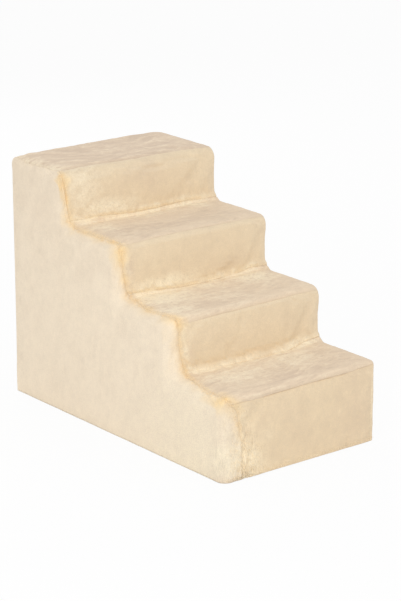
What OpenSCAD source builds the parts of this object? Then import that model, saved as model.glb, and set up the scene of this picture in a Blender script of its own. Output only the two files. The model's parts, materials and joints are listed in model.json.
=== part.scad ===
// Four-step pet stairs: a glued foam core in a fitted plush cover that zips open at the back.
// X runs across the steps, -Y is the low front, +Y the tall back, +Z up, the floor is Z = 0.

/* [Steps] */
// Width across the steps, over the cover
stairs_w = 390; // [320:5:480]
// Height of the lowest step
first_rise = 168; // [130:1:200]
// Height of each of the three upper steps
upper_rise = 114; // [90:1:140]
// Depth of each of the three lower treads
tread_depth = 168; // [140:1:200]
// Depth of the top tread
top_depth = 196; // [150:1:240]

/* [Cover] */
// Thickness of the plush cover where it is fully lofted
cover_t = 6; // [5:0.5:8]
// Rounding of the long side edges and of the upright edges
edge_r = 18; // [14:1:24]
// Rounding of a step's nose in the middle of its width
nose_r = 12; // [9:1:16]
// Rounding of a step's nose at its two ends
nose_end_r = 26; // [20:1:32]
// Rounding of the top edge at the back, along its whole length
top_back_r = 12; // [9:1:16]
// Rounding in the corner between tread and riser, mid-width
corner_r = 3; // [2:0.5:6]
// Rounding in the corner between tread and riser, at the ends
corner_end_r = 26; // [12:1:32]
// How far in from the ends the rounder shape reaches
end_blend = 60; // [40:1:90]
// Widest strip of the left panel that turns onto the front of the steps
side_wrap = 40; // [24:1:50]
// Strip of each side panel that turns onto the back
back_wrap = 22; // [19:1:30]
// How deep the cover is drawn in at the seam between tread and riser
seam_dip = 3.4; // [1:0.1:4]
// How deep the cover is drawn in at a nose seam
nose_dip = 1.2; // [0.5:0.1:2]
// How deep the cover is drawn in at the side seams
side_dip = 2.2; // [0.5:0.1:3]
// Distance from a seam at which the cover is fully lofted again
dip_reach = 34; // [20:1:50]
// Gap that is left between two cover panels at a seam
seam_gap = 0.36; // [0.3:0.01:0.5]

/* [Core] */
// Gap between the foam core and the inside of the cover
core_gap = 0.65; // [0.6:0.05:0.8]
// How much rounder the foam's edges are than the inside of the cover
core_soften = 3; // [2.5:0.1:4]

/* [Base] */
// Thickness of the base fabric
base_t = 1.4; // [1:0.1:2.5]
// Height of the grip dots under the base fabric
dot_h = 0.8; // [0.5:0.1:1.5]
// Diameter of a grip dot
dot_d = 7; // [4:0.5:10]
// Spacing of the grip dots
dot_pitch = 44; // [30:1:60]
// How far the base fabric stays inside the outline of the cover
base_inset = 4; // [2:0.5:8]
// Gap between the base fabric and the hem above it
hem_gap = 0.3; // [0.2:0.05:0.5]

/* [Zip] */
// Distance from the left seam of the back to the middle of the upright zip run
zip_side_in = 25; // [22:1:40]
// Height of the middle of the level zip run above the hem
zip_up = 27; // [22:1:40]
// Radius of the zip's bend at the lower corner
zip_bend_r = 32; // [24:1:50]
// Open width between the plush edges along the zip
zip_slot_w = 13; // [12:0.5:16]
// Distance from one tooth to the next in a row
tooth_pitch = 3.6; // [3:0.1:5]
// Thickness of the teeth
tooth_t = 2.4; // [2:0.1:2.6]
// How far the teeth of one row reach past the middle
tooth_reach = 1.1; // [0.8:0.1:1.5]
// Distance from the middle of the zip to the outer edge of a row of teeth
row_half_w = 2.9; // [2.5:0.1:3.4]
// Width of the solid spine that joins a row's teeth
spine_w = 1.3; // [1:0.1:1.5]
// Gap between neighbouring teeth of the two rows
tooth_gap = 0.25; // [0.2:0.05:0.4]
// Thickness of the zip tape
tape_t = 0.7; // [0.5:0.1:1]
// Distance from the middle of the zip to the hidden edge of a tape
tape_half_w = 15; // [12:0.5:17]
// Length of the slider
slider_l = 12; // [10:0.5:16]
// Width of the slider
slider_w = 9; // [8:0.5:10]
// Thickness of the slider's outer plate
slider_plate_t = 1.5; // [1.2:0.1:2]
// Thickness of the slider's hidden inner plate
slider_back_t = 0.7; // [0.5:0.1:0.9]
// Length of the pull tab
pull_l = 27; // [20:1:40]
// Width of the pull tab
pull_w = 8; // [7:0.5:9]
// Thickness of the pull tab
pull_t = 1.2; // [1:0.1:1.5]

/* [Hidden] */

$fn = 48;
steps = 4;
left = -1;
right = 1;

// The floor, the hem of the cover and the overall box
hem_z = dot_h + base_t + hem_gap;
total_d = (steps - 1) * tread_depth + top_depth;
total_h = first_rise + (steps - 1) * upper_rise;
front_y = -total_d / 2;
back_y = total_d / 2;
half_w = stairs_w / 2;

function nose_y(k) = front_y + (k - 1) * tread_depth;
function nose_z(k) = first_rise + (k - 1) * upper_rise;
function mix(a, b, f) = a + (b - a) * f;
function clamp01(v) = min(1, max(0, v));
function smooth(v) = let (c = clamp01(v)) c * c * (3 - 2 * c);

// Corners of the stair profile, walked from the front hem over the steps to the back hem.
// Odd corners up to 7 are noses, even ones from 2 to 6 lie between tread and riser,
// 8 is the top back edge, and 0 and 9 are the two ends at the hem.
last_corner = 2 * steps + 1;
function is_end(c) = c == 0 || c == last_corner;
function is_inner(c) = !is_end(c) && c < 2 * steps && c % 2 == 0;
function corner_y(c) =
    c == 0 ? front_y : c >= 2 * steps ? back_y : nose_y(floor(c / 2) + 1);
function corner_z(c) =
    is_end(c) ? hem_z : c == 2 * steps ? total_h : nose_z(floor((c + 1) / 2));
// Directions from each corner into the material
function inward(c) = [c >= 2 * steps ? -1 : 1, is_end(c) ? 0 : -1];
// Angles at which a corner's arc starts and ends
function arc_from(c) = is_inner(c) ? 270 : c == 2 * steps ? 90 : 180;
function arc_to(c) = is_inner(c) ? 360 : c == 2 * steps ? 0 : 90;

// The edge place e is the distance in from the sharp side edge, measured on the steps.
// From edge_r to -edge_r it runs round the side rounding, and at -edge_r it is on the side.
function roll(e, r) = e >= r ? 0 : e <= -r ? 90 : 45 * (1 - e / r);
function end_share(e) = smooth((end_blend - e) / (end_blend + edge_r));
function bend_r(c, e, soft) =
    is_end(c) ? 0
  : is_inner(c) ? mix(corner_r, corner_end_r, end_share(e))
  : soft + (c == 2 * steps ? top_back_r : mix(nose_r, nose_end_r, end_share(e)));

// Point of the profile's corner c at arc share f, for a surface that is drop in from the
// sharp outline and depth below the lofted cover
function arc_point(c, f, drop, depth, r) =
    let (angle = mix(arc_from(c), arc_to(c), f),
         into = is_end(c) ? drop + depth : is_inner(c) ? drop - r : drop + r,
         bend = is_end(c) ? 0 : is_inner(c) ? r + depth : r - depth)
    [corner_y(c) + into * inward(c)[0] + bend * cos(angle) * (is_end(c) ? 0 : 1),
     corner_z(c) + into * inward(c)[1] + bend * sin(angle) * (is_end(c) ? 0 : 1)];

// A station [c, f] lies on corner c's arc while f is at most 1, and past 1 on the straight
// from that corner to the next
function profile_point(st, drop, depth, e, soft) =
    st[1] <= 1
        ? arc_point(st[0], st[1], drop, depth, bend_r(st[0], e, soft))
        : mix(arc_point(st[0], 1, drop, depth, bend_r(st[0], e, soft)),
              arc_point(st[0] + 1, 0, drop, depth, bend_r(st[0] + 1, e, soft)), st[1] - 1);

// Point of the cover at edge place e of one side, at a station, depth below the lofted face
function cover_point(side, e, st, depth, soft = 0) =
    let (r = edge_r + soft,
         turn = roll(e, r),
         inset = e >= r ? e : r - (r - depth) * sin(turn),
         drop = r * (1 - cos(turn)),
         p = profile_point(st, drop, depth * cos(turn), e, soft))
    [side * (half_w - inset), p[0], p[1]];

// Where the side seams run: shares of side_wrap at each corner and at the middle of the
// straight after it, for the left seam as it lies on the real cover
left_seam_shares = [[1.15, 1.1], [0.45, 0.2], [0.95, 0.68], [0.55, 0.42], [0.68, 0.36],
                    [0.18, 0.22], [0.42, 0], [-0.25, 0.05], [0.2, 0], [0, 0]];
// The right seam lies on the rounding at this share of edge_r
right_seam_share = -0.33;
function step_seam(side, c, f) =
    side == right
        ? right_seam_share * edge_r
        : let (here = left_seam_shares[c], next = left_seam_shares[min(c + 1, last_corner)])
          side_wrap * (f <= 1 ? here[0]
                     : f < 1.5 ? mix(here[0], here[1], smooth(2 * (f - 1)))
                               : mix(here[1], next[0], smooth(2 * f - 3)));
function seam_place(side, st) =
    st[0] < 2 * steps ? step_seam(side, st[0], st[1])
  : st[0] > 2 * steps ? back_wrap
  : mix(step_seam(side, st[0], 0), back_wrap, smooth(st[1]));

// Stations along the profile
nose_arc_shares = [0, 0.25, 0.5, 0.75, 1];
inner_arc_shares = [0, 0.5, 1];
run_shares = [0.08, 0.3, 0.84];
function arc_stations(c) =
    is_end(c) ? [[c, 1]] : [for (f = is_inner(c) ? inner_arc_shares : nose_arc_shares) [c, f]];
function run_stations(c) = [for (f = run_shares) [c, 1 + f]];
all_stations = [for (c = [0:last_corner])
    each concat(arc_stations(c), c < last_corner ? run_stations(c) : [])];
// One strip's stations, from the seam at corner c to the seam at the next corner
function strip_stations(c) = concat(
    is_end(c) ? [[c, 1]] : [for (st = arc_stations(c)) if (st[1] >= 0.5) st],
    run_stations(c),
    c + 1 == 2 * steps ? arc_stations(c + 1)
                       : [for (st = arc_stations(c + 1)) if (st[1] <= 0.5) st]);

// The first and last row of a strip stand half a seam gap back from the seam
function set_back(st, from_seam, e) =
    is_end(st[0]) || st[1] == 1 ? st
  : let (arc_l = bend_r(st[0], e, 0) * PI / 2)
    [st[0], st[1] + from_seam * seam_gap / 2 / arc_l];

// Draw-in of the cover at a distance from a seam
function dip(deep, away) = deep * pow(clamp01(1 - away / dip_reach), 2);
function seam_depth(c) = is_end(c) ? 0 : is_inner(c) ? seam_dip : nose_dip;
function lengths(points) = [for (i = 0, l = 0; i < len(points);
    i = i + 1, l = l + (i < len(points) ? norm(points[i] - points[i - 1]) : 0)) l];

// Columns across a strip: edge places from a side seam to the middle of the width
column_shares = [0, 0.03, 0.075, 0.13, 0.2, 0.32, 0.6, 1];
function columns(side, seam_e) = [for (f = column_shares) mix(seam_e, half_w, f)];

// Triangles of a shell between an outer and an inner grid of rows by cols points
function grid_faces(rows, cols, start, flip) = [for (i = [0:rows - 2], j = [0:cols - 2])
    let (a = start + i * cols + j, b = a + 1, c = a + cols, d = c + 1)
    each (flip ? [[a, c, b], [b, c, d]] : [[a, b, c], [b, d, c]])];
function rim_faces(outer, inner, flip) = [for (i = [0:len(outer) - 2])
    let (a = outer[i], b = outer[i + 1], c = inner[i], d = inner[i + 1])
    each (flip ? [[a, c, b], [b, c, d]] : [[a, b, c], [b, d, c]])];
module shell(outer, inner) {
    rows = len(outer);
    cols = len(outer[0]);
    under = rows * cols;
    first_row = [for (j = [0:cols - 1]) j];
    last_row = [for (j = [0:cols - 1]) (rows - 1) * cols + j];
    first_col = [for (i = [0:rows - 1]) i * cols];
    last_col = [for (i = [0:rows - 1]) i * cols + cols - 1];
    polyhedron(
        points = concat([for (row = outer) each row], [for (row = inner) each row]),
        faces = concat(
            grid_faces(rows, cols, 0, true),
            grid_faces(rows, cols, under, false),
            rim_faces(first_row, [for (v = first_row) v + under], false),
            rim_faces(last_row, [for (v = last_row) v + under], true),
            rim_faces(first_col, [for (v = first_col) v + under], true),
            rim_faces(last_col, [for (v = last_col) v + under], false)));
}

// One tread or riser of the cover, from the seam at corner c to the next seam
module strip(c) {
    stations = strip_stations(c);
    last = len(stations) - 1;
    along = lengths([for (st = stations) profile_point(st, 0, 0, half_w, 0)]);
    places = [for (st = stations) [
        for (e = columns(left, seam_place(left, st) + seam_gap / 2)) [left, e],
        for (i = [len(column_shares) - 2:-1:0])
            [right, columns(right, seam_place(right, st) + seam_gap / 2)[i]]]];
    function row(i, outer) = [for (p = places[i])
        let (st = i == 0 ? set_back(stations[i], 1, p[1])
                : i == last ? set_back(stations[i], -1, p[1]) : stations[i],
             from_side = p[1] - seam_place(p[0], stations[i]),
             depth = outer ? max(dip(seam_depth(c), along[i]),
                                 dip(seam_depth(c + 1), along[last] - along[i]),
                                 dip(side_dip, from_side))
                           : cover_t)
        cover_point(p[0], p[1], st, depth)];
    shell([for (i = [0:last]) row(i, true)], [for (i = [0:last]) row(i, false)]);
}

// A side panel: rings from its seam over the side rounding, then a fan to a point of the
// hem from which the whole stepped outline can be seen
side_ring_shares = [0, 0.2, 0.4, 0.6, 0.8, 1];
seam_lip = 1;
fan_shares = [0.62];
fan_y = back_y - top_depth / 4;
module side_panel(side) {
    rows = len(all_stations);
    rings = len(side_ring_shares) + 1;
    cols = rings + len(fan_shares);
    function place(st, j) =
        let (seam_e = seam_place(side, st) - seam_gap / 2)
        j == 0 ? seam_e : mix(min(seam_e - seam_lip, edge_r), -edge_r, side_ring_shares[j - 1]);
    function ring_point(st, j, outer) =
        let (e = place(st, j),
             away = seam_place(side, st) - e)
        cover_point(side, e, st, outer ? dip(side_dip, away) : cover_t);
    function side_x(depth) = side * (half_w - depth);
    function fan_point(st, share, depth) =
        let (p = cover_point(side, -edge_r, st, cover_t))
        [side_x(depth), mix(fan_y, p[1], share), mix(hem_z, p[2], share)];
    function row(st, outer) = concat(
        [for (j = [0:rings - 1]) ring_point(st, j, outer)],
        [for (share = fan_shares) fan_point(st, share, outer ? 0 : cover_t)]);
    flip = side == right;
    under = rows * cols;
    tip = 2 * under;
    first_row = concat([for (j = [0:cols - 1]) j], [tip]);
    last_row = concat([for (j = [0:cols - 1]) (rows - 1) * cols + j], [tip]);
    border = [for (i = [0:rows - 1]) i * cols];
    function below(v) = v == tip ? tip + 1 : v + under;
    polyhedron(
        points = concat([for (st = all_stations) each row(st, true)],
                        [for (st = all_stations) each row(st, false)],
                        [[side_x(0), fan_y, hem_z], [side_x(cover_t), fan_y, hem_z]]),
        faces = concat(
            grid_faces(rows, cols, 0, flip),
            grid_faces(rows, cols, under, !flip),
            [for (i = [0:rows - 2]) let (a = i * cols + cols - 1, b = a + cols)
                flip ? [a, b, tip] : [a, tip, b]],
            [for (i = [0:rows - 2]) let (a = under + i * cols + cols - 1, b = a + cols)
                flip ? [a, tip + 1, b] : [a, b, tip + 1]],
            rim_faces(first_row, [for (v = first_row) below(v)], !flip),
            rim_faces(last_row, [for (v = last_row) below(v)], flip),
            rim_faces(border, [for (v = border) below(v)], flip)));
}

// Foam core: four slabs glued one on another
core_in = cover_t + core_gap;
core_r = edge_r + core_soften;
core_turns = [90, 75, 60, 45, 30, 15, 0];
function slab_bottom(k) = k == 1 ? hem_z : nose_z(k - 1) - core_in;
function slab_top(k) = nose_z(k) - core_in;
// Front part of a slab, with rounded nose and side edges; the top slab runs to the back
module slab_front(k) {
    nose = 2 * k - 1;
    back_at = k == steps ? back_y : nose_y(k + 1) + core_r;
    places = concat([for (turn = core_turns) [left, core_r * (1 - turn / 45)]],
                    [for (i = [len(core_turns) - 1:-1:0]) [right, core_r * (1 - core_turns[i] / 45)]]);
    function arc_row(c, p) =
        [for (f = nose_arc_shares) cover_point(p[0], p[1], [c, f], core_in, core_soften)];
    function outline(p) =
        let (front = arc_row(nose, p),
             rear = k == steps ? arc_row(nose + 1, p)
                               : [[front[0][0], back_at, front[len(front) - 1][2]]])
        concat([[front[0][0], front[0][1], slab_bottom(k)]], front, rear,
               [[front[0][0], rear[len(rear) - 1][1], slab_bottom(k)]]);
    rows = [for (p = places) outline(p)];
    n = len(rows[0]);
    last = len(rows) - 1;
    polyhedron(
        points = [for (row = rows) each row],
        faces = concat(
            [for (i = [0:last - 1], j = [0:n - 1])
                let (a = i * n + j, b = i * n + (j + 1) % n, c = a + n, d = b + n)
                each [[a, b, c], [b, d, c]]],
            [for (j = [1:n - 2]) [0, j + 1, j]],
            [for (j = [1:n - 2]) [last * n, last * n + j, last * n + j + 1]]));
}
// Rear part of a slab, under the slab above, with its two upright back edges rounded
module slab_rear(k) {
    front_at = nose_y(k + 1) + core_r;
    back_at = back_y - core_in;
    r = core_r - core_in;
    w = stairs_w - 2 * core_in;
    translate([0, 0, slab_bottom(k)])
        linear_extrude(slab_top(k) - slab_bottom(k)) {
            translate([-w / 2, front_at])
                square([w, back_at - r - front_at]);
            translate([-w / 2 + r, front_at])
                square([w - 2 * r, back_at - front_at]);
            for (side = [left, right])
                translate([side * (w / 2 - r), back_at - r])
                    circle(r);
        }
}
module foam_slab(k) {
    color([0.93, 0.91, 0.84])
        union() {
            slab_front(k);
            if (k < steps)
                slab_rear(k);
        }
}

// The plush strips between the side panels
tread_colour = [0.89, 0.83, 0.75];
riser_colour = [0.90, 0.82, 0.70];
side_colour = [0.94, 0.89, 0.80];
module riser_cover(k) {
    color(riser_colour)
        strip(2 * k - 2);
}
module tread_cover(k) {
    color(tread_colour)
        strip(2 * k - 1);
}
module side_cover(side) {
    color(side_colour)
        side_panel(side);
}

// Path of the zip on the back: down the left, round the lower corner and along the hem.
// s runs along its middle line, and u is the distance outward from that line.
zip_x = -half_w + back_wrap + zip_side_in;
zip_z = hem_z + zip_up;
back_top_z = total_h - top_back_r - seam_gap;
back_right_x = half_w - back_wrap - seam_gap / 2;
zip_end_gap = 2;
zip_top_z = back_top_z - zip_end_gap;
zip_right_x = back_right_x - zip_end_gap;
upright_l = zip_top_z - zip_z - zip_bend_r;
bend_l = zip_bend_r * PI / 2;
level_l = zip_right_x - zip_x - zip_bend_r;
zip_l = upright_l + bend_l + level_l;
function zip_point(s, u) =
    s <= upright_l ? [zip_x - u, zip_top_z - s]
  : s <= upright_l + bend_l
      ? let (angle = 180 + 90 * (s - upright_l) / bend_l)
        [zip_x + zip_bend_r + (zip_bend_r + u) * cos(angle),
         zip_z + zip_bend_r + (zip_bend_r + u) * sin(angle)]
      : [zip_x + zip_bend_r + s - upright_l - bend_l, zip_z - u];
bend_steps = 12;
zip_places = concat([0], [for (i = [0:bend_steps]) upright_l + bend_l * i / bend_steps], [zip_l]);

// Depths of the zip's layers, from the foam outward
slider_back_y = back_y - cover_t;
slider_clear = 0.3;
tooth_y = slider_back_y + slider_back_t + slider_clear;
tape_y = tooth_y + (tooth_t - tape_t) / 2;
slider_plate_y = tooth_y + tooth_t + slider_clear;

// Stands a shape drawn in X and Z on the back, from depth y outward by thickness t
module on_back(y, t) {
    translate([0, y + t, 0])
        rotate([90, 0, 0])
            linear_extrude(t)
                children();
}
// The area of the back to the right of and above the zip line at distance u outward
module zip_inside(u) {
    far = stairs_w + total_h;
    polygon(concat([[zip_x - u, far]], [for (s = zip_places) if (s > 0 && s < zip_l) zip_point(s, u)],
                   [[far, zip_z - u], [far, far]]));
}
module back_area() {
    left_x = -half_w + back_wrap + seam_gap / 2;
    translate([left_x, hem_z])
        square([back_right_x - left_x, back_top_z - hem_z]);
}
slot_clear = 0.3;
rabbet_t = tape_t + 2 * slot_clear;
module back_cover() {
    color(side_colour)
        difference() {
            on_back(back_y - cover_t, cover_t)
                intersection() {
                    back_area();
                    zip_inside(-zip_slot_w / 2);
                }
            on_back(tape_y - slot_clear, rabbet_t)
                difference() {
                    back_area();
                    zip_inside(-tape_half_w - slot_clear);
                }
        }
}
module back_border() {
    color(side_colour)
        difference() {
            on_back(back_y - cover_t, cover_t)
                difference() {
                    back_area();
                    zip_inside(zip_slot_w / 2);
                }
            on_back(tape_y - slot_clear, rabbet_t)
                zip_inside(tape_half_w + slot_clear);
        }
}

// Base fabric with its grip dots
module grip_base() {
    w = stairs_w - 2 * base_inset;
    d = total_d - 2 * base_inset;
    r = edge_r - base_inset;
    nx = floor((w - dot_pitch) / 2 / dot_pitch);
    ny = floor((d - dot_pitch) / 2 / dot_pitch);
    color([0.55, 0.53, 0.5]) {
        translate([0, 0, dot_h])
            linear_extrude(base_t) {
                square([w, d - 2 * r], center = true);
                square([w - 2 * r, d], center = true);
                for (x = [-1, 1], y = [-1, 1])
                    translate([x * (w / 2 - r), y * (d / 2 - r)])
                        circle(r);
            }
        for (i = [-nx:nx], j = [-ny:ny])
            translate([i * dot_pitch, j * dot_pitch, 0])
                cylinder(d = dot_d, h = dot_h + base_t / 2);
    }
}

// Zip tapes, one sewn to the border and one to the flap
module zip_tape(out) {
    color([0.92, 0.87, 0.78])
        on_back(tape_y, tape_t)
            polygon(concat([for (s = zip_places) zip_point(s, out * row_half_w)],
                           [for (i = [len(zip_places) - 1:-1:0])
                               zip_point(zip_places[i], out * tape_half_w)]));
}
// A row of teeth on its spine; the two rows stand half a pitch apart and mesh
stop_l = 2.4;
first_tooth = 2 * stop_l;
tooth_w = tooth_pitch / 2 - tooth_gap;
tooth_count = floor((zip_l - 2 * first_tooth) / tooth_pitch);
module zip_teeth(out) {
    shift = first_tooth + (out > 0 ? 0 : tooth_pitch / 2);
    color([0.95, 0.91, 0.83])
        on_back(tooth_y, tooth_t)
            polygon(concat(
                [zip_point(0, out * (row_half_w - spine_w))],
                [for (i = [0:tooth_count - 1])
                    let (s = shift + i * tooth_pitch)
                    each [zip_point(s, out * (row_half_w - spine_w)),
                          zip_point(s, -out * tooth_reach),
                          zip_point(s + tooth_w, -out * tooth_reach),
                          zip_point(s + tooth_w, out * (row_half_w - spine_w))]],
                [zip_point(zip_l, out * (row_half_w - spine_w))],
                [for (i = [len(zip_places) - 1:-1:0]) zip_point(zip_places[i], out * row_half_w)]));
}
// Stops: one on each row at the closed end, and a box across both rows at the open end
stop_gap = 0.1;
module zip_stops() {
    color([0.75, 0.75, 0.74]) {
        for (out = [-1, 1])
            on_back(tooth_y, tooth_t)
                translate(zip_point(stop_gap + stop_l, 0)
                          + [out > 0 ? -(row_half_w - spine_w) + stop_gap : stop_gap / 2, 0])
                    square([row_half_w - spine_w - 1.5 * stop_gap, stop_l]);
        on_back(tooth_y, tooth_t)
            translate(zip_point(zip_l - stop_gap - stop_l, 0)
                      - [0, row_half_w - spine_w - stop_gap])
                square([stop_l, 2 * (row_half_w - spine_w - stop_gap)]);
    }
}

// Slider at the closed end of the zip, with the bridge that holds the pull
stop_clear = 1;
slider_park = stop_l + stop_clear;
slider_top_z = zip_top_z - slider_park;
slider_mid_z = slider_top_z - slider_l / 2;
flange_w = 0.9;
flange_clear = 0.3;
flange_y = tape_y + tape_t + flange_clear;
bridge_w = 1.6;
bridge_l = 8;
bridge_t = 1;
axle_d = 1.5;
axle_clear = 0.45;
axle_y = slider_plate_y + slider_plate_t + axle_clear + axle_d / 2;
bridge_top_y = axle_y + axle_d / 2 + axle_clear + bridge_t;
slider_corner_r = 2;
module slider_plate_outline() {
    translate([zip_x, slider_mid_z]) {
        square([slider_w, slider_l - 2 * slider_corner_r], center = true);
        square([slider_w - 2 * slider_corner_r, slider_l], center = true);
        for (x = [-1, 1], z = [-1, 1])
            translate([x * (slider_w / 2 - slider_corner_r), z * (slider_l / 2 - slider_corner_r)])
                circle(slider_corner_r);
    }
}
module zip_slider() {
    color([0.78, 0.77, 0.74]) {
        on_back(slider_plate_y, slider_plate_t)
            slider_plate_outline();
        on_back(slider_back_y, slider_back_t)
            slider_plate_outline();
        for (side = [left, right])
            translate([zip_x + side * (slider_w - flange_w) / 2 - flange_w / 2, flange_y,
                       slider_mid_z - slider_l / 2 + slider_corner_r])
                cube([flange_w, slider_plate_y + slider_plate_t / 2 - flange_y,
                      slider_l - 2 * slider_corner_r]);
        difference() {
            translate([zip_x - bridge_w / 2, slider_plate_y + slider_plate_t / 2,
                       slider_mid_z - bridge_l / 2])
                cube([bridge_w, bridge_top_y - slider_plate_y - slider_plate_t / 2, bridge_l]);
            translate([zip_x - bridge_w, slider_plate_y + slider_plate_t,
                       slider_mid_z - bridge_l / 2 + bridge_t])
                cube([2 * bridge_w, bridge_top_y - bridge_t - slider_plate_y - slider_plate_t,
                      bridge_l - 2 * bridge_t]);
        }
    }
}
// Pull tab: a round axle under the bridge, two legs and a flat grip, hanging down
pull_leg_w = 1.6;
pull_window_clear = 1.6;
pull_window_l = bridge_l / 2 + pull_window_clear;
pull_tip_r = 3;
module zip_pull() {
    color([0.78, 0.77, 0.74]) {
        translate([zip_x - pull_w / 2, axle_y, slider_mid_z])
            rotate([0, 90, 0])
                cylinder(d = axle_d, h = pull_w);
        on_back(axle_y - pull_t / 2, pull_t)
            translate([zip_x, slider_mid_z]) {
                for (side = [left, right])
                    translate([side * (pull_w - pull_leg_w) / 2 - pull_leg_w / 2, -pull_window_l])
                        square([pull_leg_w, pull_window_l]);
                translate([-pull_w / 2, -pull_l + pull_tip_r])
                    square([pull_w, pull_l - pull_tip_r - pull_window_l]);
                translate([-pull_w / 2 + pull_tip_r, -pull_l])
                    square([pull_w - 2 * pull_tip_r, pull_tip_r]);
                for (side = [left, right])
                    translate([side * (pull_w / 2 - pull_tip_r), -pull_l + pull_tip_r])
                        circle(pull_tip_r);
            }
    }
}

foam_slab(1);  // foam_slab_1
foam_slab(2);  // foam_slab_2
foam_slab(3);  // foam_slab_3
foam_slab(4);  // foam_slab_4
riser_cover(1);  // riser_cover_1
riser_cover(2);  // riser_cover_2
riser_cover(3);  // riser_cover_3
riser_cover(4);  // riser_cover_4
tread_cover(1);  // tread_cover_1
tread_cover(2);  // tread_cover_2
tread_cover(3);  // tread_cover_3
tread_cover(4);  // tread_cover_4
side_cover(left);  // side_cover_left
side_cover(right);  // side_cover_right
back_cover();
back_border();
grip_base();
zip_tape(1);  // zip_tape_border
zip_tape(-1);  // zip_tape_flap
zip_teeth(1);  // zip_teeth_border
zip_teeth(-1);  // zip_teeth_flap
zip_stops();
zip_slider();
zip_pull();
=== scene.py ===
"""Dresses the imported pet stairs: a plush cover over four foam steps, zipped at the back.

The file is laid out as an add-on with one operator for each group of pieces, and runs as a script.
"""

import json
import math

import bmesh
import bpy
import numpy as np
from bpy.props import FloatProperty, FloatVectorProperty, IntProperty, PointerProperty
from mathutils import Matrix, Vector, geometry
from mathutils.bvhtree import BVHTree


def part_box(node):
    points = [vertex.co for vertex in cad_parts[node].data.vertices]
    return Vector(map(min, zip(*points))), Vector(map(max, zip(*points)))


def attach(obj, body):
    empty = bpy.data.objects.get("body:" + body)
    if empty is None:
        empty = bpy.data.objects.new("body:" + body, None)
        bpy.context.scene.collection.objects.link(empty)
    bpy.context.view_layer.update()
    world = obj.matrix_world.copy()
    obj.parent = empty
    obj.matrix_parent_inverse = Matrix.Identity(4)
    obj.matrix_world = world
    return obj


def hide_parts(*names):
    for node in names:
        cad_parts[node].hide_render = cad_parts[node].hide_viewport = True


bl_info = {
    "name": "Pet stairs",
    "version": (1, 0, 0),
    "blender": (4, 5, 0),
    "location": "3D View > Sidebar > Pet stairs",
    "description": "Plush cover, foam core, grip base and zip for four-step pet stairs",
    "category": "Object",
}

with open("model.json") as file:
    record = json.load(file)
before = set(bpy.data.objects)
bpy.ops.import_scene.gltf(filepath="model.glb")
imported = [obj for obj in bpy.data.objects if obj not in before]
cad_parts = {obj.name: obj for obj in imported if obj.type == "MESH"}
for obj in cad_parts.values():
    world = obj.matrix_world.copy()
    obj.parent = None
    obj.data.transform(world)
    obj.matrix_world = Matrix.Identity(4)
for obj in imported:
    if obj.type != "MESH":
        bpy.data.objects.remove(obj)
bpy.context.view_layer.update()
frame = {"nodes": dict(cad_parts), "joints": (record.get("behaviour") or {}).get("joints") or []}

MM = 0.001
STEPS = 4
BODY = "stairs"
LAST = 2 * STEPS + 1
INNER = range(2, 2 * STEPS, 2)

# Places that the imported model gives
HALF_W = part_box("side_cover_right")[1].x
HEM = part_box("riser_cover_1")[0].z
NOSE_Y = [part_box(f"riser_cover_{k}")[0].y for k in range(1, STEPS + 1)]
NOSE_Z = [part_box(f"tread_cover_{k}")[1].z for k in range(1, STEPS + 1)]
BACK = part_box("back_cover")[1].y
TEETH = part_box("zip_teeth_border"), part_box("zip_teeth_flap")
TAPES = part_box("zip_tape_border"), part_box("zip_tape_flap")
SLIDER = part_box("zip_slider")
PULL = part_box("zip_pull")

# Limits of the plush: the most that relief stands above the full loft, the least thickness that it
# leaves, and the share of the thickness at which the lining lies
MOST_UP = 5 * MM
LEAST = 0.5 * MM
LINING = 0.98
# Rounding of the foam slabs and of the base's corners
FOAM_R = 0.012
BASE_R = 0.014
# Height, radius and spacing of the grip dots
DOT_H = 0.8 * MM
DOT_R = 3.5 * MM
DOT_PITCH = 0.044
# Spacing of the points of the back's outlines, of the back panels and of strips along the zip
OUTLINE_STEP = 0.003
BACK_GRAIN = 0.0034
ZIP_STEP = 0.0025
# How far in from their edges the back panels are rolled over, and how deep
BACK_ROLL = 0.0042
BACK_ROLL_DEEP = 2.2 * MM
# How far the stitches lie from the zip's middle, how far the teeth end from the tape's ends, and the
# radius of the thread
STITCH_OUT = 0.0051
BARE_END = 0.0048
THREAD_R = 0.28 * MM
# Plates and gaps of the slider
SLIDER_GAP = 0.3 * MM
PLATE_T = 1.5 * MM


def length(name, description, default, low=0.0, high=1.0):
    return FloatProperty(name=name, description=description, default=default, min=low, max=high,
                         unit="LENGTH", precision=4)


def colour(name, description, red, green, blue):
    """A colour property, given as it looks on screen from 0 to 255."""
    linear = [(v / 255 / 12.92) if v < 10 else ((v / 255 + 0.055) / 1.055) ** 2.4 for v in (red, green, blue)]
    return FloatVectorProperty(name=name, description=description, default=linear, subtype="COLOR",
                               min=0, max=1, size=3)


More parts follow.
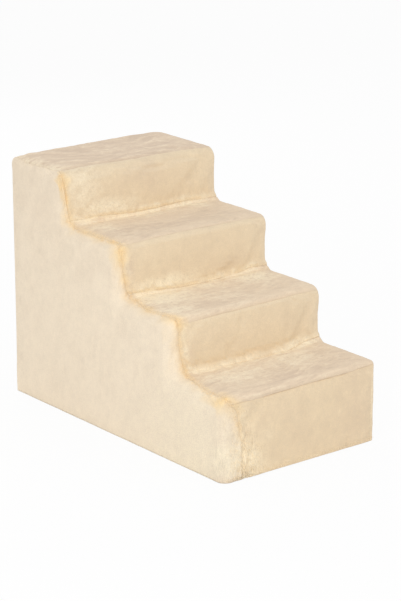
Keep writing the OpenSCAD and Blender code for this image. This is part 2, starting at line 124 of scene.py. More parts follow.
class CoverSizes(bpy.types.PropertyGroup):
    thickness: length("Thickness", "Plush and its lining where fully lofted", 0.006)
    edge_r: length("Left rounding", "Rounding of the stepped edges on the left", 0.018)
    tight_r: length("Tight rounding", "Rounding of the right edges and of the upright back edges", 0.009)
    top_back_r: length("Back edge rounding", "Rounding of the top edge at the back", 0.012)
    end_blend: length("End blend", "How far in from the ends the rounder shape reaches", 0.06)
    back_wrap: length("Back strip", "Strip of each side panel that turns onto the back", 0.022)
    seam_dip: length("Inner seam dip", "Draw-in at a seam between tread and riser", 0.0015)
    nose_dip: length("Nose seam dip", "Draw-in at a nose seam", 0.0012)
    side_dip: length("Side seam dip", "Draw-in at the side seams", 0.0022)
    dip_reach: length("Dip reach", "Distance from a seam to full loft", 0.034)
    hem_drop: length("Hem drop", "How far the pile hangs below the hem", 0.0016)
    puff: length("Loft", "Most that the cloth simulation may lift a panel", 0.0025)
    grain: length("Mesh step", "Spacing of the points of the step panels", 0.0017, 0.001, 0.01)
    side_grain: length("Side mesh step", "Spacing of the points of the side panels", 0.0029, 0.001, 0.01)


class PlushColours(bpy.types.PropertyGroup):
    # One plush covers every panel, so the tread, riser and side tones are painted light and shade: darker on
    # the treads and paler on the side and back panels, as the light falls on each face
    tread: colour("Tread", "Plush of the treads", 229, 208, 181)
    riser: colour("Riser", "Plush of the risers", 232, 212, 181)
    side: colour("Side", "Plush of the side and back panels", 243, 227, 203)
    pale: colour("Brushed pile", "Pile that stands up beside the seams", 243, 229, 202)
    tuft: colour("Pile tips", "Tufts that stand out at the seams and the hem", 250, 233, 203)
    rose: colour("Laid pile", "Pile that lies away from the light", 216, 194, 170)
    thread: colour("Seam line", "Shaded pile and thread in a seam", 190, 158, 120)
    ochre: colour("Seam pile", "Yellower pile along the side seam", 246, 217, 168)
    foam: colour("Foam", "Open-cell foam", 238, 228, 198)
    base: colour("Base", "Non-slip base fabric", 140, 134, 126)
    dots: colour("Grip dots", "Rubber dots of the base", 96, 92, 88)
    tape: colour("Zip tape", "Woven tape of the zip", 232, 217, 190)
    teeth: colour("Zip teeth", "Moulded teeth of the zip", 240, 228, 205)
    metal: colour("Slider", "Metal of the slider and its pull", 190, 188, 182)


class ZipSizes(bpy.types.PropertyGroup):
    slot_w: length("Slot", "Open width between the plush edges", 0.013)
    bend_r: length("Bend", "Radius of the zip's bend at the lower corner", 0.032)
    pitch: length("Tooth pitch", "Distance from one tooth to the next in a row", 0.0036)
    reach: length("Tooth reach", "How far the teeth reach past the middle", 0.0011)
    spine_w: length("Spine", "Width of the cord that the teeth sit on", 0.0013)
    stitch: length("Stitch", "Length of one stitch on the tape", 0.0024)
    stitch_pitch: length("Stitch pitch", "Distance from one stitch to the next", 0.0032)


class PileSizes(bpy.types.PropertyGroup):
    tuft_l: length("Tuft length", "Length of a tuft of pile", 0.0055)
    tuft_r: length("Tuft radius", "Radius of a tuft at its root", 0.00028)
    seed: IntProperty(name="Seed", description="Seed of the scatter", default=7)


class StairSettings(bpy.types.PropertyGroup):
    cover: PointerProperty(type=CoverSizes)
    plush: PointerProperty(type=PlushColours)
    zipper: PointerProperty(type=ZipSizes)
    pile: PointerProperty(type=PileSizes)


# Where the left seam runs: distance walked along the profile from the front hem, and
# distance in from the sharp side edge, in millimetres
LEFT_SEAM = [
    (0, 47), (80, 44), (110, 37), (140, 33), (165, 11), (216, 7), (319, 33), (341, 36), (376, 27), (410, 22),
    (452, 25), (515, 16), (555, 20), (602, 36), (646, 21), (690, 13), (786, 13), (880, 12), (944, 0),
    (996, -10), (1024, -2), (1046, 6), (1150, 2), (1190, 6), (1222, 22),
]
RIGHT_SEAM = [(0, -6), (1190, -6), (1222, 22)]
# How far the seam at each corner is walked past the corner, across the width, in millimetres
SEAM_SHIFT = {
    1: [(-154, -14), (-2, -13), (103, -12), (192, -8)],
    2: [(-150, 0), (-52, -9), (40, -13), (101, -11), (148, 2), (183, 4)],
    3: [(-145, -9), (-74, -8), (60, -5), (190, -3)],
    4: [(-150, 10), (-60, 3), (-10, -1), (34, -1), (123, 3), (150, 8), (195, 4)],
    5: [(-164, 2), (-61, 8), (60, 6), (190, 2)],
    6: [(-160, 13), (-92, 11), (-12, 5), (38, 5), (113, 8), (190, 1)],
    7: [(-175, 36), (-91, 36), (-18, 27), (65, 27), (131, 25), (195, 12)],
}
# Rounding of each corner of the profile, in the middle of the width and at the ends
CORNER_R = {1: (12, 9), 2: (15, 24), 3: (14, 24), 4: (6, 26), 5: (14, 21), 6: (7, 26), 7: (21, 25)}


def smooth(v):
    """Rises from 0 to 1 and levels out at both ends."""
    v = np.clip(v, 0, 1)
    return v * v * (3 - 2 * v)


def mix(a, b, share):
    return a + (b - a) * share


def bump(v, middle, half_width):
    """A bell of height 1 about a middle."""
    return np.exp(-(((v - middle) / half_width) ** 2))


def noise(x, y, seed):
    """Smooth noise from -1 to 1 over a plane, the same on each run."""
    x, y = np.broadcast_arrays(x, y)
    xi, yi = np.floor(x).astype(np.int64), np.floor(y).astype(np.int64)
    fx, fy = smooth(x - xi), smooth(y - yi)

    def knot(i, j):
        h = (i * 374761393 + j * 668265263 + seed * 1274126177) & 0xFFFFFFFF
        h = ((h ^ (h >> 13)) * 1274126177) & 0xFFFFFFFF
        return ((h ^ (h >> 16)) & 0xFFFF) / 32767.5 - 1

    low = mix(knot(xi, yi), knot(xi + 1, yi), fx)
    high = mix(knot(xi, yi + 1), knot(xi + 1, yi + 1), fx)
    return mix(low, high, fy)


def layered(x, y, seed, layers=3):
    """Noise with finer, weaker noise on top, from about -1 to 1."""
    return sum(noise(x * 2**i, y * 2**i, seed + 17 * i) / 2**i for i in range(layers)) / 1.6


def wrinkles(x, y, seed):
    """Narrow crests between broad hollows, from -1 to 1."""
    return 1 - 2.4 * np.abs(layered(x, y, seed))


class CoverShape:
    """The lofted face of the cover. across is walked over the width from the middle, and turns
    down the sides past the sharp edge; along is walked over the stair profile from the front hem."""

    def __init__(self, size):
        self.size = size
        low = HEM - size.hem_drop
        middle = range(1, 2 * STEPS)
        self.y = np.array([NOSE_Y[0], *[NOSE_Y[c // 2] for c in middle], BACK, BACK])
        self.z = np.array([low, *[NOSE_Z[(c - 1) // 2] for c in middle], NOSE_Z[-1], low])
        self.along = np.concatenate([[0], np.cumsum(np.hypot(np.diff(self.y), np.diff(self.z)))])
        self.inward = [(1, 0)] + [(1, -1)] * (2 * STEPS - 1) + [(-1, -1), (-1, 0)]
        self.walk = np.arange(0, self.along[LAST] + MM, MM)
        self.runs = [self.eased(LEFT_SEAM), self.eased(RIGHT_SEAM)]
        self.loft = None

    def eased(self, knots):
        """How far in from the side edge a seam runs at each millimetre of the walk."""
        at, value = np.array(knots, float).T * MM
        run = np.interp(self.walk, at, value)
        half = 7
        window = np.hanning(2 * half + 1)
        run = np.convolve(np.pad(run, half, mode="edge"), window / window.sum(), mode="valid")
        return np.where(self.walk > self.along[LAST - 1] + self.size.top_back_r, self.size.back_wrap, run)

    def edge_at(self, side, along):
        """across of the side seam, at a distance along the profile."""
        run = np.interp(along, self.walk, self.runs[0 if side < 0 else 1])
        return side * (HALF_W - run)

    def seam_at(self, corner, across):
        """along of the seam at a corner of the profile, at a distance across."""
        if corner == 0:
            return np.zeros_like(across)
        if corner == 2 * STEPS:
            return np.full_like(across, self.along[corner] + self.size.top_back_r)
        at, value = np.array(SEAM_SHIFT[corner], float).T * MM
        wander = 0.8 * MM * noise(across / 0.03, across * 0 + corner, 5)
        return self.along[corner] + np.interp(across, at, value) + wander

    def edge_radius(self, across, along):
        """Rounding of the side edge: generous on the left, tight on the right and up the back."""
        tight = np.maximum(across > 0, smooth((along - self.along[2 * STEPS] + 0.05) / 0.05))
        return mix(self.size.edge_r, self.size.tight_r, tight)

    def radius(self, corner, inset):
        """Rounding of a corner of the profile, at a distance in from the side edge."""
        if corner in (0, LAST):
            return np.zeros_like(inset)
        if corner == 2 * STEPS:
            return np.full_like(inset, self.size.top_back_r)
        middle, end = (v * MM for v in CORNER_R[corner])
        share = smooth((self.size.end_blend - inset) / (self.size.end_blend + self.size.edge_r))
        return mix(middle, end, share)

    def bent(self, corner, share, drop, depth, r):
        """y and z at a share of the turn round a corner of the profile."""
        inner = corner in INNER
        start, stop = (270, 360) if inner else (90, 0) if corner == 2 * STEPS else (180, 90)
        angle = np.radians(mix(start, stop, share))
        tightest = 0.3 * MM
        if corner in (0, LAST):
            into, reach = drop + depth, 0
        elif inner:
            into, reach = drop - r, np.maximum(r + depth, tightest)
        else:
            into, reach = drop + r, np.maximum(r - depth, tightest)
        return (self.y[corner] + into * self.inward[corner][0] + reach * np.cos(angle),
                self.z[corner] + into * self.inward[corner][1] + reach * np.sin(angle))

    def profile(self, along, inset, drop, depth):
        """y and z on the stair profile, drawn in by drop and depth."""
        y, z = np.zeros_like(along), np.zeros_like(along)
        radii = [self.radius(c, inset) for c in range(LAST + 1)]
        for c in range(LAST):
            start, stop = self.along[c] + radii[c], self.along[c + 1] - radii[c + 1]
            share = (along - start) / (stop - start)
            here = (along >= start) & (along <= stop)
            p = self.bent(c, 1, drop, depth, radii[c])
            q = self.bent(c + 1, 0, drop, depth, radii[c + 1])
            y, z = np.where(here, mix(p[0], q[0], share), y), np.where(here, mix(p[1], q[1], share), z)
        for c in range(1, LAST):
            share = (along - self.along[c] + radii[c]) / (2 * radii[c])
            here = np.abs(along - self.along[c]) < radii[c]
            p = self.bent(c, share, drop, depth, radii[c])
            y, z = np.where(here, p[0], y), np.where(here, p[1], z)
        return y, z

    def point(self, across, along, depth):
        """Places on the cover at a depth below its full loft."""
        across, along, depth = np.broadcast_arrays(*(np.asarray(v, float) for v in (across, along, depth)))
        r = self.edge_radius(across, along)
        inset = HALF_W - np.abs(across)
        turn = np.radians(np.clip(45 * (1 - inset / r), 0, 90))
        over = np.where(inset >= r, inset, r - (r - depth) * np.sin(turn))
        drop = r * (1 - np.cos(turn))
        y, z = self.profile(np.clip(along, 0, self.along[LAST]), inset, drop, depth * np.cos(turn))
        return np.stack([np.sign(across) * (HALF_W - over), y, z], -1)

    def dip(self, deep, away):
        """Draw-in at a distance away from a seam, where it is deep."""
        return deep * np.clip(1 - away / self.size.dip_reach, 0, 1) ** 2

    def side_dip(self, left, along, away):
        """Draw-in at a side seam, and the groove and roll beside it. On the left the pile hides the
        groove, and hides the whole seam at the lower front corner and round the top tread."""
        shown = smooth((along - 0.03) / 0.09) * (1 - 0.7 * smooth((along - 1.0) / 0.04))
        shown = mix(1, mix(0.05, 1, shown), left)
        groove = mix(0.5, 0.12, left) * MM * bump(away, 0, 2.2 * MM)
        roll = mix(0.35, 0.7, left) * MM * bump(away, 0.006, 0.004)
        return shown * mix(1, 0.35, left) * self.dip(self.size.side_dip, away), shown * (groove - roll)


_shape = []


def cover_shape(context):
    """The cover's shape, worked out once, with the loft that the cloth simulation gives."""
    if not _shape:
        made = CoverShape(context.scene.pet_stairs.cover)
        made.loft = simulated_loft(made)
        _shape.append(made)
    return _shape[0]


# Meshes


def mesh_object(name, points, quads=(), triangles=(), values=None, flat_map=None):
    """A smooth-shaded object at the origin, with point values and a map in metres."""
    quads = np.asarray(quads, np.int64).reshape(-1, 4)
    triangles = np.asarray(triangles, np.int64).reshape(-1, 3)
    corners = np.concatenate([quads.ravel(), triangles.ravel()])
    counts = np.repeat([4, 3], [len(quads), len(triangles)])
    mesh = bpy.data.meshes.new(name)
    mesh.vertices.add(len(points))
    mesh.vertices.foreach_set("co", np.asarray(points, np.float32).ravel())
    mesh.loops.add(len(corners))
    mesh.loops.foreach_set("vertex_index", corners.astype(np.int32))
    mesh.polygons.add(len(counts))
    mesh.polygons.foreach_set("loop_start", (np.cumsum(counts) - counts).astype(np.int32))
    mesh.polygons.foreach_set("use_smooth", np.ones(len(counts), bool))
    for key, value in (values or {}).items():
        kind = "FLOAT_VECTOR" if np.ndim(value) == 2 else "FLOAT"
        layer = mesh.attributes.new(key, kind, "POINT")
        layer.data.foreach_set("vector" if kind == "FLOAT_VECTOR" else "value",
                               np.asarray(value, np.float32).ravel())
    if flat_map is not None:
        layer = mesh.uv_layers.new(name="cloth")
        layer.data.foreach_set("uv", np.asarray(flat_map, np.float32)[corners].ravel())
    mesh.update(calc_edges=True)
    mesh.validate()
    made = bpy.data.objects.new(name, mesh)
    bpy.context.scene.collection.objects.link(made)
    return made


def unit(vectors):
    """Vectors scaled to length 1."""
    return vectors / np.maximum(np.linalg.norm(vectors, axis=1, keepdims=True), 1e-9)


def grid_quads(rows, cols):
    at = np.arange(rows * cols).reshape(rows, cols)
    return np.stack([at[:-1, :-1], at[:-1, 1:], at[1:, 1:], at[1:, :-1]], -1).reshape(-1, 4)


def ring_quads(rows, cols):
    """Quads between rings of points, each ring closed."""
    at = np.arange(rows * cols).reshape(rows, cols)
    after = np.roll(at, -1, 1)
    return np.stack([at[:-1], after[:-1], after[1:], at[1:]], -1).reshape(-1, 4)


def ring_caps(rows, cols):
    """Triangles that close the first and the last ring."""
    last = (rows - 1) * cols
    caps = [(0, i, i + 1) for i in range(1, cols - 1)]
    return np.array(caps + [(last, last + i + 1, last + i) for i in range(1, cols - 1)])


def split(quads):
    """Quads cut into triangles."""
    quads = np.asarray(quads).reshape(-1, 4)
    return np.concatenate([quads[:, [0, 1, 2]], quads[:, [0, 2, 3]]])


def faces_outward(points, quads, triangles):
    """Whether a closed surface encloses a volume above zero."""
    a, b, c = points[np.concatenate([split(quads), triangles])].swapaxes(0, 1)
    return np.einsum("ij,ij->i", a, np.cross(b, c)).sum() > 0


def border_edges(faces, count):
    """Edges that one face alone has, in that face's direction."""
    edges = np.concatenate([np.stack([f[:, i], f[:, (i + 1) % f.shape[1]]], -1)
                            for f in faces if len(f) for i in range(f.shape[1])])
    keys = edges[:, 0] * count + edges[:, 1]
    return edges[~np.isin(edges[:, 1] * count + edges[:, 0], keys)]


def closed_shell(outer, inner, quads, triangles=()):
    """Points and faces of a closed shell between two copies of an open surface, turned outward."""
    quads = np.asarray(quads, np.int64).reshape(-1, 4)
    triangles = np.asarray(triangles, np.int64).reshape(-1, 3)
    count = len(outer)
    border = border_edges((quads, triangles), count)
    rim = np.stack([border[:, 1], border[:, 0], border[:, 0] + count, border[:, 1] + count], -1)
    quads = np.concatenate([quads, quads[:, ::-1] + count, rim])
    triangles = np.concatenate([triangles, triangles[:, ::-1] + count])
    points = np.concatenate([outer, inner])
    if not faces_outward(points, quads, triangles):
        quads, triangles = quads[:, ::-1], triangles[:, ::-1]
    return points, quads, triangles


def filled_outline(outline, spacing, keep_off=0.6):
    """Points and triangles of a flat outline, filled at about one spacing. The outline comes first."""
    outline = np.asarray(outline, float)
    low, high = outline.min(0), outline.max(0)
    gx, gy = np.meshgrid(np.arange(low[0] + spacing / 2, high[0], spacing),
                         np.arange(low[1] + spacing / 2, high[1], spacing * 0.87))
    gx = gx + (np.arange(len(gx)) % 2)[:, None] * spacing / 2
    inside = np.stack([gx.ravel(), gy.ravel()], -1)
    inside = inside[outline_distance(inside, outline) > spacing * keep_off]
    within = np.zeros(len(inside), bool)
    for a, b in zip(outline, np.roll(outline, -1, 0)):
        if a[1] != b[1]:
            crosses = (a[1] > inside[:, 1]) != (b[1] > inside[:, 1])
            at = a[0] + (inside[:, 1] - a[1]) * (b[0] - a[0]) / (b[1] - a[1])
            within ^= crosses & (inside[:, 0] < at)
    inside = inside[within]
    given = np.concatenate([outline, inside])
    made = geometry.delaunay_2d_cdt([Vector(p) for p in given], [], [list(range(len(outline)))], 1, 1e-7)
    back = np.array([ids[0] if ids else -1 for ids in made[3]])
    if (back < 0).any() or len(set(back.tolist())) != len(back):
        raise RuntimeError("the outline crosses itself, so it can't be filled")
    triangles = back[np.array([f for f in made[2] if len(f) == 3])]
    return given, triangles


def outline_distance(points, outline, closed=True):
    """Distance from each point to an outline."""
    best = np.full(len(points), 1e9)
    ends = np.roll(outline, -1, 0) if closed else outline[1:]
    for a, b in zip(outline, ends):
        run = b - a
        size = run @ run
        share = np.clip(((points - a) @ run) / size, 0, 1) if size > 1e-18 else np.zeros(len(points))
        best = np.minimum(best, np.hypot(*(points - a - share[:, None] * run).T))
    return best


# Step panels


def strip_grid(shape, corner, spacing, fine_ends=True):
    """across and along of a panel's points, from the seam at a corner to the next seam."""
    cols = max(8, round(2 * HALF_W / spacing)) + 1
    rows = max(5, round((shape.along[corner + 1] - shape.along[corner]) / spacing)) + 1
    v = np.linspace(0, 1, cols)
    t = np.linspace(0, 1, rows)
    if fine_ends:
        v, t = (mix(w, 0.5 - 0.5 * np.cos(np.pi * w), 0.35) for w in (v, t))
    v, t = np.meshgrid(v, t)
    along = mix(shape.along[corner], shape.along[corner + 1], t)
    for _ in range(6):
        left, right = shape.edge_at(-1, along), shape.edge_at(1, along)
        across = mix(left, right, v)
        start, stop = shape.seam_at(corner, across), shape.seam_at(corner + 1, across)
        along = mix(start, stop, t)
    away = {"start": along - start, "stop": stop - along, "left": across - left, "right": right - across}
    return across, along, away


# Patches where the pile is brushed up: panel's first corner, middle across and along the
# panel as shares from -1 to 1 and 0 to 1, half width and half height as such shares, strength
BRUSHED = [
    (6, -0.76, 0.5, 0.22, 0.6, 0.45), (6, -0.45, 0.14, 0.36, 0.13, 1.0), (6, 0.5, 0.05, 0.5, 0.05, 0.5),
    (4, -0.35, 0.12, 0.4, 0.13, 1.0),
    (2, 0.62, 0.12, 0.12, 0.06, 0.6),
    (0, -0.66, 0.14, 0.17, 0.27, 0.6), (0, -0.78, 0.8, 0.08, 0.25, 0.3), (0, -0.45, 0.5, 0.1, 0.15, 0.25),
    (0, 0.955, 0.55, 0.018, 0.4, 0.8),
    (1, -0.45, 0.62, 0.4, 0.26, 0.55), (1, 0.35, 0.72, 0.35, 0.22, 0.6),
    (3, -0.58, 0.8, 0.4, 0.32, 1.0), (3, -0.72, 0.35, 0.22, 0.22, 0.6), (3, 0.0, 0.5, 0.3, 0.4, 0.3),
    (3, 0.62, 0.76, 0.28, 0.22, 0.95), (3, 0.08, 0.82, 0.16, 0.12, 0.8),
    (5, -0.72, 0.62, 0.16, 0.3, 0.45), (5, 0.05, 0.85, 0.35, 0.1, 0.6), (5, 0.66, 0.85, 0.16, 0.14, 0.7),
    (7, -0.88, 0.5, 0.08, 0.5, 0.3),
]
# Patches where it lies flat and looks rosier, given the same way
LAID = [
    (0, 0.3, 0.5, 1.6, 1.4, 0.35), (0, 0.75, 0.5, 0.4, 1.2, 0.75), (0, 0.9, 0.5, 0.03, 0.35, 0.7),
    (0, 0.8, 0.55, 0.03, 0.3, 0.5),
    (2, -0.76, 0.3, 0.06, 0.3, 0.55),
    (4, -0.84, 0.4, 0.05, 0.5, 0.7), (4, 0.5, 0.25, 0.3, 0.12, 0.35),
    (6, 0.0, 0.62, 0.3, 0.3, 0.35),
    (1, 0.0, 0.2, 0.7, 0.16, 0.75), (1, 0.75, 0.45, 0.25, 0.3, 0.5),
    (3, 0.05, 0.62, 0.3, 0.12, 0.3), (3, -0.35, 0.25, 0.3, 0.16, 0.5),
    (5, -0.2, 0.3, 0.6, 0.16, 0.8), (5, -0.6, 0.45, 0.2, 0.14, 1.1), (5, 0.6, 0.4, 0.3, 0.14, 0.5),
    (7, -0.5, 0.25, 0.5, 0.2, 1.0), (7, 0.1, 0.5, 1.6, 1.2, 1.2),
]
# How far each nose seam shows in the pile
NOSE_SHOWN = {1: 1.0, 3: 0.25, 5: 0.4, 7: 0.8}


def patches(table, corner, across, share):
    """Strength of a table's patches on one panel."""
    total = np.zeros_like(across)
    wobble = 0.25 * layered(across / 0.03, share * 4, 90 + corner)
    for at, x, y, half_x, half_y, strength in table:
        if at == corner:
            here = (bump(across / HALF_W + wobble * half_x, x, half_x)
                    * bump(share + wobble * half_y, y, half_y))
            total = np.maximum(total, strength * here)
    return total


def ochre_run(shape, along):
    """Strength of the yellow band beside the left seam: most at the nose corners of the profile, and
    none low at the front or round the top tread."""
    corners = range(1, 2 * STEPS)
    at_corners = sum((0.45 if c % 2 else 0.05) * bump(along, shape.along[c], 0.035) for c in corners)
    above_hem = smooth((along - 0.055) / 0.07)
    below_top = 1 - smooth((along - shape.along[2 * STEPS - 1] - 0.008) / 0.035)
    return 0.04 + (0.5 + at_corners) * above_hem * below_top


def combed(across, along, away):
    """Upright tufts of the lower front corner, from -1 to 1."""
    return layered(across / 0.0055, along / 0.022, 21) * smooth(away / 0.004)


class StripRelief:
    """The relief of a step panel at given places. depth and ripple lie below the full loft; pale, laid,
    ochre, shag and seam say how the pile looks, and crest where a crease or roll catches the light."""

    def __init__(self, shape, corner, across, along, away):
        self.shape, self.corner, self.riser = shape, corner, corner % 2 == 0
        self.across, self.along, self.away = across, along, away
        self.share = away["start"] / (away["start"] + away["stop"])
        self.tight = smooth((away["right"] + 0.004) / 0.04)
        self.depth, self.ripple, self.pale, self.seam, self.crest, self.shag = (
            np.zeros_like(across) for _ in range(6))
        for at, key in ((corner, "start"), (corner + 1, "stop")):
            if at not in (0, 2 * STEPS):
                self.cross_seam(at, away[key])
        self.side_seams()
        if not self.riser:
            self.tread_folds()
        elif corner:
            self.drawn_ends()
        if corner in (2, 4):
            self.left_strip()
        if self.riser:
            self.crushed_pile()
        if corner == 6:
            self.slanted_folds()
        if corner == 0:
            self.shaggy_corner()
        self.brushed_and_laid()
        self.crumpled()

    def cross_seam(self, at, off):
        """The dip and the line of the seam at a corner of the profile. off is the distance from it."""
        size, inner, shown = self.shape.size, at in INNER, NOSE_SHOWN.get(at, 1)
        dip = size.seam_dip if inner else size.nose_dip * shown
        self.depth = np.maximum(self.depth, self.shape.dip(dip, off))
        strength = np.clip(0.6 + 0.6 * noise(self.across / 0.022, self.across * 0, 31 + at), 0, 1) * shown
        self.ripple += 0.45 * MM * strength * bump(off, 0, 1.5 * MM)
        self.seam = np.maximum(self.seam, 0.4 * strength * bump(off, 0, 1.3 * MM))
        if inner:
            self.rolls(at, off)

    def rolls(self, at, off):
        """Tucks at an inner seam, painted darker, and the brushed-up roll beside it, flatter on a tread. The
        roll's paleness is partly brushed pile and partly painted light that lifts the corner's shade, and its
        crest is a painted highlight.
        """
        up, pale, half_width, crest, fade = (
            (1.6, 0.95, 0.009, 2.2, 0.007) if self.riser else (0.9, 0.8, 0.018, 1.8, 0.016))
        shaded = smooth((self.across + 0.13) / 0.12)
        self.seam *= 0.15 + 0.85 * shaded
        self.pale = np.maximum(self.pale, 0.9 * (1 - shaded) * bump(off, 0, 0.004))
        tuck = layered(self.across / 0.010, off / 0.03, 40 + at) * np.exp(-off / 0.014)
        self.crest -= 1.1 * tuck
        self.ripple += 0.9 * MM * tuck * (1 - bump(off, 0, 0.002))
        uneven = layered(self.across / 0.017, self.across * 0 + at, 60 + self.riser)
        roll = np.clip(0.6 + 0.7 * uneven, 0, 1.2)
        self.ripple -= up * MM * roll * bump(off, 0.007, 0.005)
        ends = smooth((self.away["right"] - 0.01) / 0.06) * smooth((self.away["left"] + 0.01) / 0.06)
        brushed = roll * bump(off, 0.004, half_width) * mix(0.4, 1, ends)
        self.pale = np.maximum(self.pale, pale * brushed)
        self.crest += crest * ends * np.exp(-off / fade)

    def side_seams(self):
        """The draw-in and groove at both ends, and a gentle unevenness over the panel."""
        for key in ("left", "right"):
            drawn, groove = self.shape.side_dip(key == "left", self.along, self.away[key])
            self.depth = np.maximum(self.depth, drawn)
            self.ripple += groove
        self.ripple += 0.35 * MM * self.tight * layered(self.across / 0.03, self.along / 0.03, 3)

    def tread_folds(self):
        """Creases across a tread that fade out at its seams. They slant one way on the lower treads and
        the other way on the upper ones."""
        across, along = self.across, self.along
        slant = 0.12 * across * (self.corner - 4) / 3
        bent_x = across + 0.02 * noise(along / 0.045, across / 0.08, 10)
        bent_s = along + 0.02 * noise(across / 0.075, along / 0.05, 11) + slant
        fold = layered(bent_x / 0.06, bent_s / 0.014, 12)
        fine = wrinkles(bent_x / 0.03, bent_s / 0.010, 14)
        edge = smooth(self.away["stop"] / 0.02) * smooth(self.away["start"] / 0.01) * self.tight
        self.ripple -= edge * MM * (0.9 * fold + 0.35 * fine)
        self.crest += edge * (0.6 * fold + 0.5 * fine)

    def drawn_ends(self):
        """The draw-in at both ends of a riser above the first."""
        end = smooth((0.07 - (HALF_W - np.abs(self.across))) / 0.09)
        self.ripple += 3.0 * MM * end * bump(self.share, 0.42, 0.3)

    def left_strip(self):
        """Pile that stands up beside the left seam."""
        patchy = 0.75 + 0.4 * noise(self.along / 0.012, self.along * 0, 23)
        strip = patchy * smooth(self.away["start"] / 0.01) * 1.6 / self.corner
        self.pale = np.maximum(self.pale, strip * bump(self.away["left"], 0.013, 0.009))

    def crushed_pile(self):
        """Soft blotches of pile pressed down on a riser."""
        crush = layered(self.across / 0.020, self.along / 0.028, 15)
        self.ripple -= 0.3 * MM * self.tight * crush
        self.crest += 0.55 * crush

    def slanted_folds(self):
        """Short folds that slant down from the left end of the top riser."""
        across, along = self.across, self.along
        folds = layered((across - along) / 0.014, (across + along) / 0.045, 24)
        folded = bump(across, -0.15, 0.05) * folds
        self.ripple -= 1.0 * MM * folded
        self.crest += 0.8 * folded

    def shaggy_corner(self):
        """The shaggy lower corner at the left of the front, and the light along the hem."""
        self.shag = smooth((0.055 - self.away["left"]) / 0.05) * smooth((0.12 - self.along) / 0.05)
        comb = combed(self.across, self.along, self.away["left"])
        self.ripple -= 2.4 * MM * comb * self.shag
        hem = mix(-0.8, 0.8, smooth((self.away["left"] - 0.02) / 0.05))
        self.crest += 1.6 * comb * self.shag + hem * np.exp(-self.along / 0.015)

    def brushed_and_laid(self):
        """Where the pile stands up or lies flat, from the patches and what was added before."""
        low = mix(0.35, 1, smooth((0.085 - self.along) / 0.05))
        brushed = np.maximum(self.pale, patches(BRUSHED, self.corner, self.across, self.share))
        self.pale = np.clip(brushed + 0.75 * self.shag * low, 0, 1)
        self.laid = patches(LAID, self.corner, self.across, self.share) * (1 - self.pale)
        if self.corner == 2 * STEPS - 1:
            self.crest *= 1.1
            self.pale = np.maximum(self.pale, 0.5 * bump(self.away["left"], 0, 0.018))

    def crumpled(self):
        """Fine creases where the pile is brushed up."""
        across, along = self.across, self.along
        creases = wrinkles((across + along) / 0.008, (along - across) / 0.012, 16)
        crumple = creases * np.clip(self.pale - 0.1, 0, 1)
        self.ripple -= 0.7 * MM * crumple
        self.crest = np.clip(self.crest * (1 - 0.5 * self.pale) + 1.3 * crumple, -1.5, 1.5)

    def ochre(self):
        """Strength of the yellow pile beside the left seam, and a little yellow over the whole lowest riser
        that is painted warm bounce light.
        """
        strength = ochre_run(self.shape, self.along)
        patchy = 0.8 + 0.5 * noise(self.along / 0.02, self.away["left"] / 0.02, 18)
        half_width = 0.004 + 0.014 * strength * patchy
        band = np.clip(strength * patchy, 0, 1) * bump(self.away["left"], 0, half_width)
        # At least 0.16 on the lowest riser: painted warm bounce light
        return np.maximum(band, 0.16) if self.corner == 0 else band

    def values(self):
        return {"pale": self.pale, "laid": self.laid, "ochre": self.ochre(), "shag": self.shag,
                "seam": self.seam, "crest": self.crest}


def lofted(shape, across, along, depth):
    """Takes the simulated loft off a depth. The right edge is drawn tight, so it has little."""
    if shape.loft is None:
        return depth
    base = shape.point(across, along, 0)
    return depth - shape.loft(base) * mix(0.3, 1, smooth((HALF_W - across) / 0.04))


def make_strip(context, name, corner):
    """The tread or riser from the seam at a corner of the profile to the next seam."""
    shape = cover_shape(context)
    across, along, away = strip_grid(shape, corner, shape.size.grain)
    relief = StripRelief(shape, corner, across, along, away)
    under = shape.size.thickness * LINING
    depth = lofted(shape, across, along, relief.depth + relief.ripple)
    depth = np.clip(depth, -MOST_UP, under - LEAST)
    outer, inner = (shape.point(across, along, v).reshape(-1, 3) for v in (depth, under))
    points, quads, triangles = closed_shell(outer, inner, grid_quads(*across.shape))
    values = {key: np.tile(value.ravel(), 2) for key, value in relief.values().items()}
    flat_map = np.tile(np.stack([across.ravel(), along.ravel()], -1), (2, 1))
    return mesh_object(name, points, quads, triangles, values, flat_map)


# Side panels


def side_ring(shape, side, spacing):
    """across, along and distance from the seam at the points of the ring over the side rounding."""
    rows = round(shape.along[LAST] / spacing) + 1
    cols = max(7, round(0.05 / spacing))
    along = np.linspace(0, shape.along[LAST], rows)[:, None]
    from_seam = HALF_W - side * shape.edge_at(side, along)
    share = np.linspace(0, 1, cols + 1)[None, :] ** 1.15
    inset = mix(from_seam, -shape.edge_radius(side * HALF_W, along), share)
    return side * (HALF_W - inset), np.broadcast_to(along, inset.shape), from_seam - inset


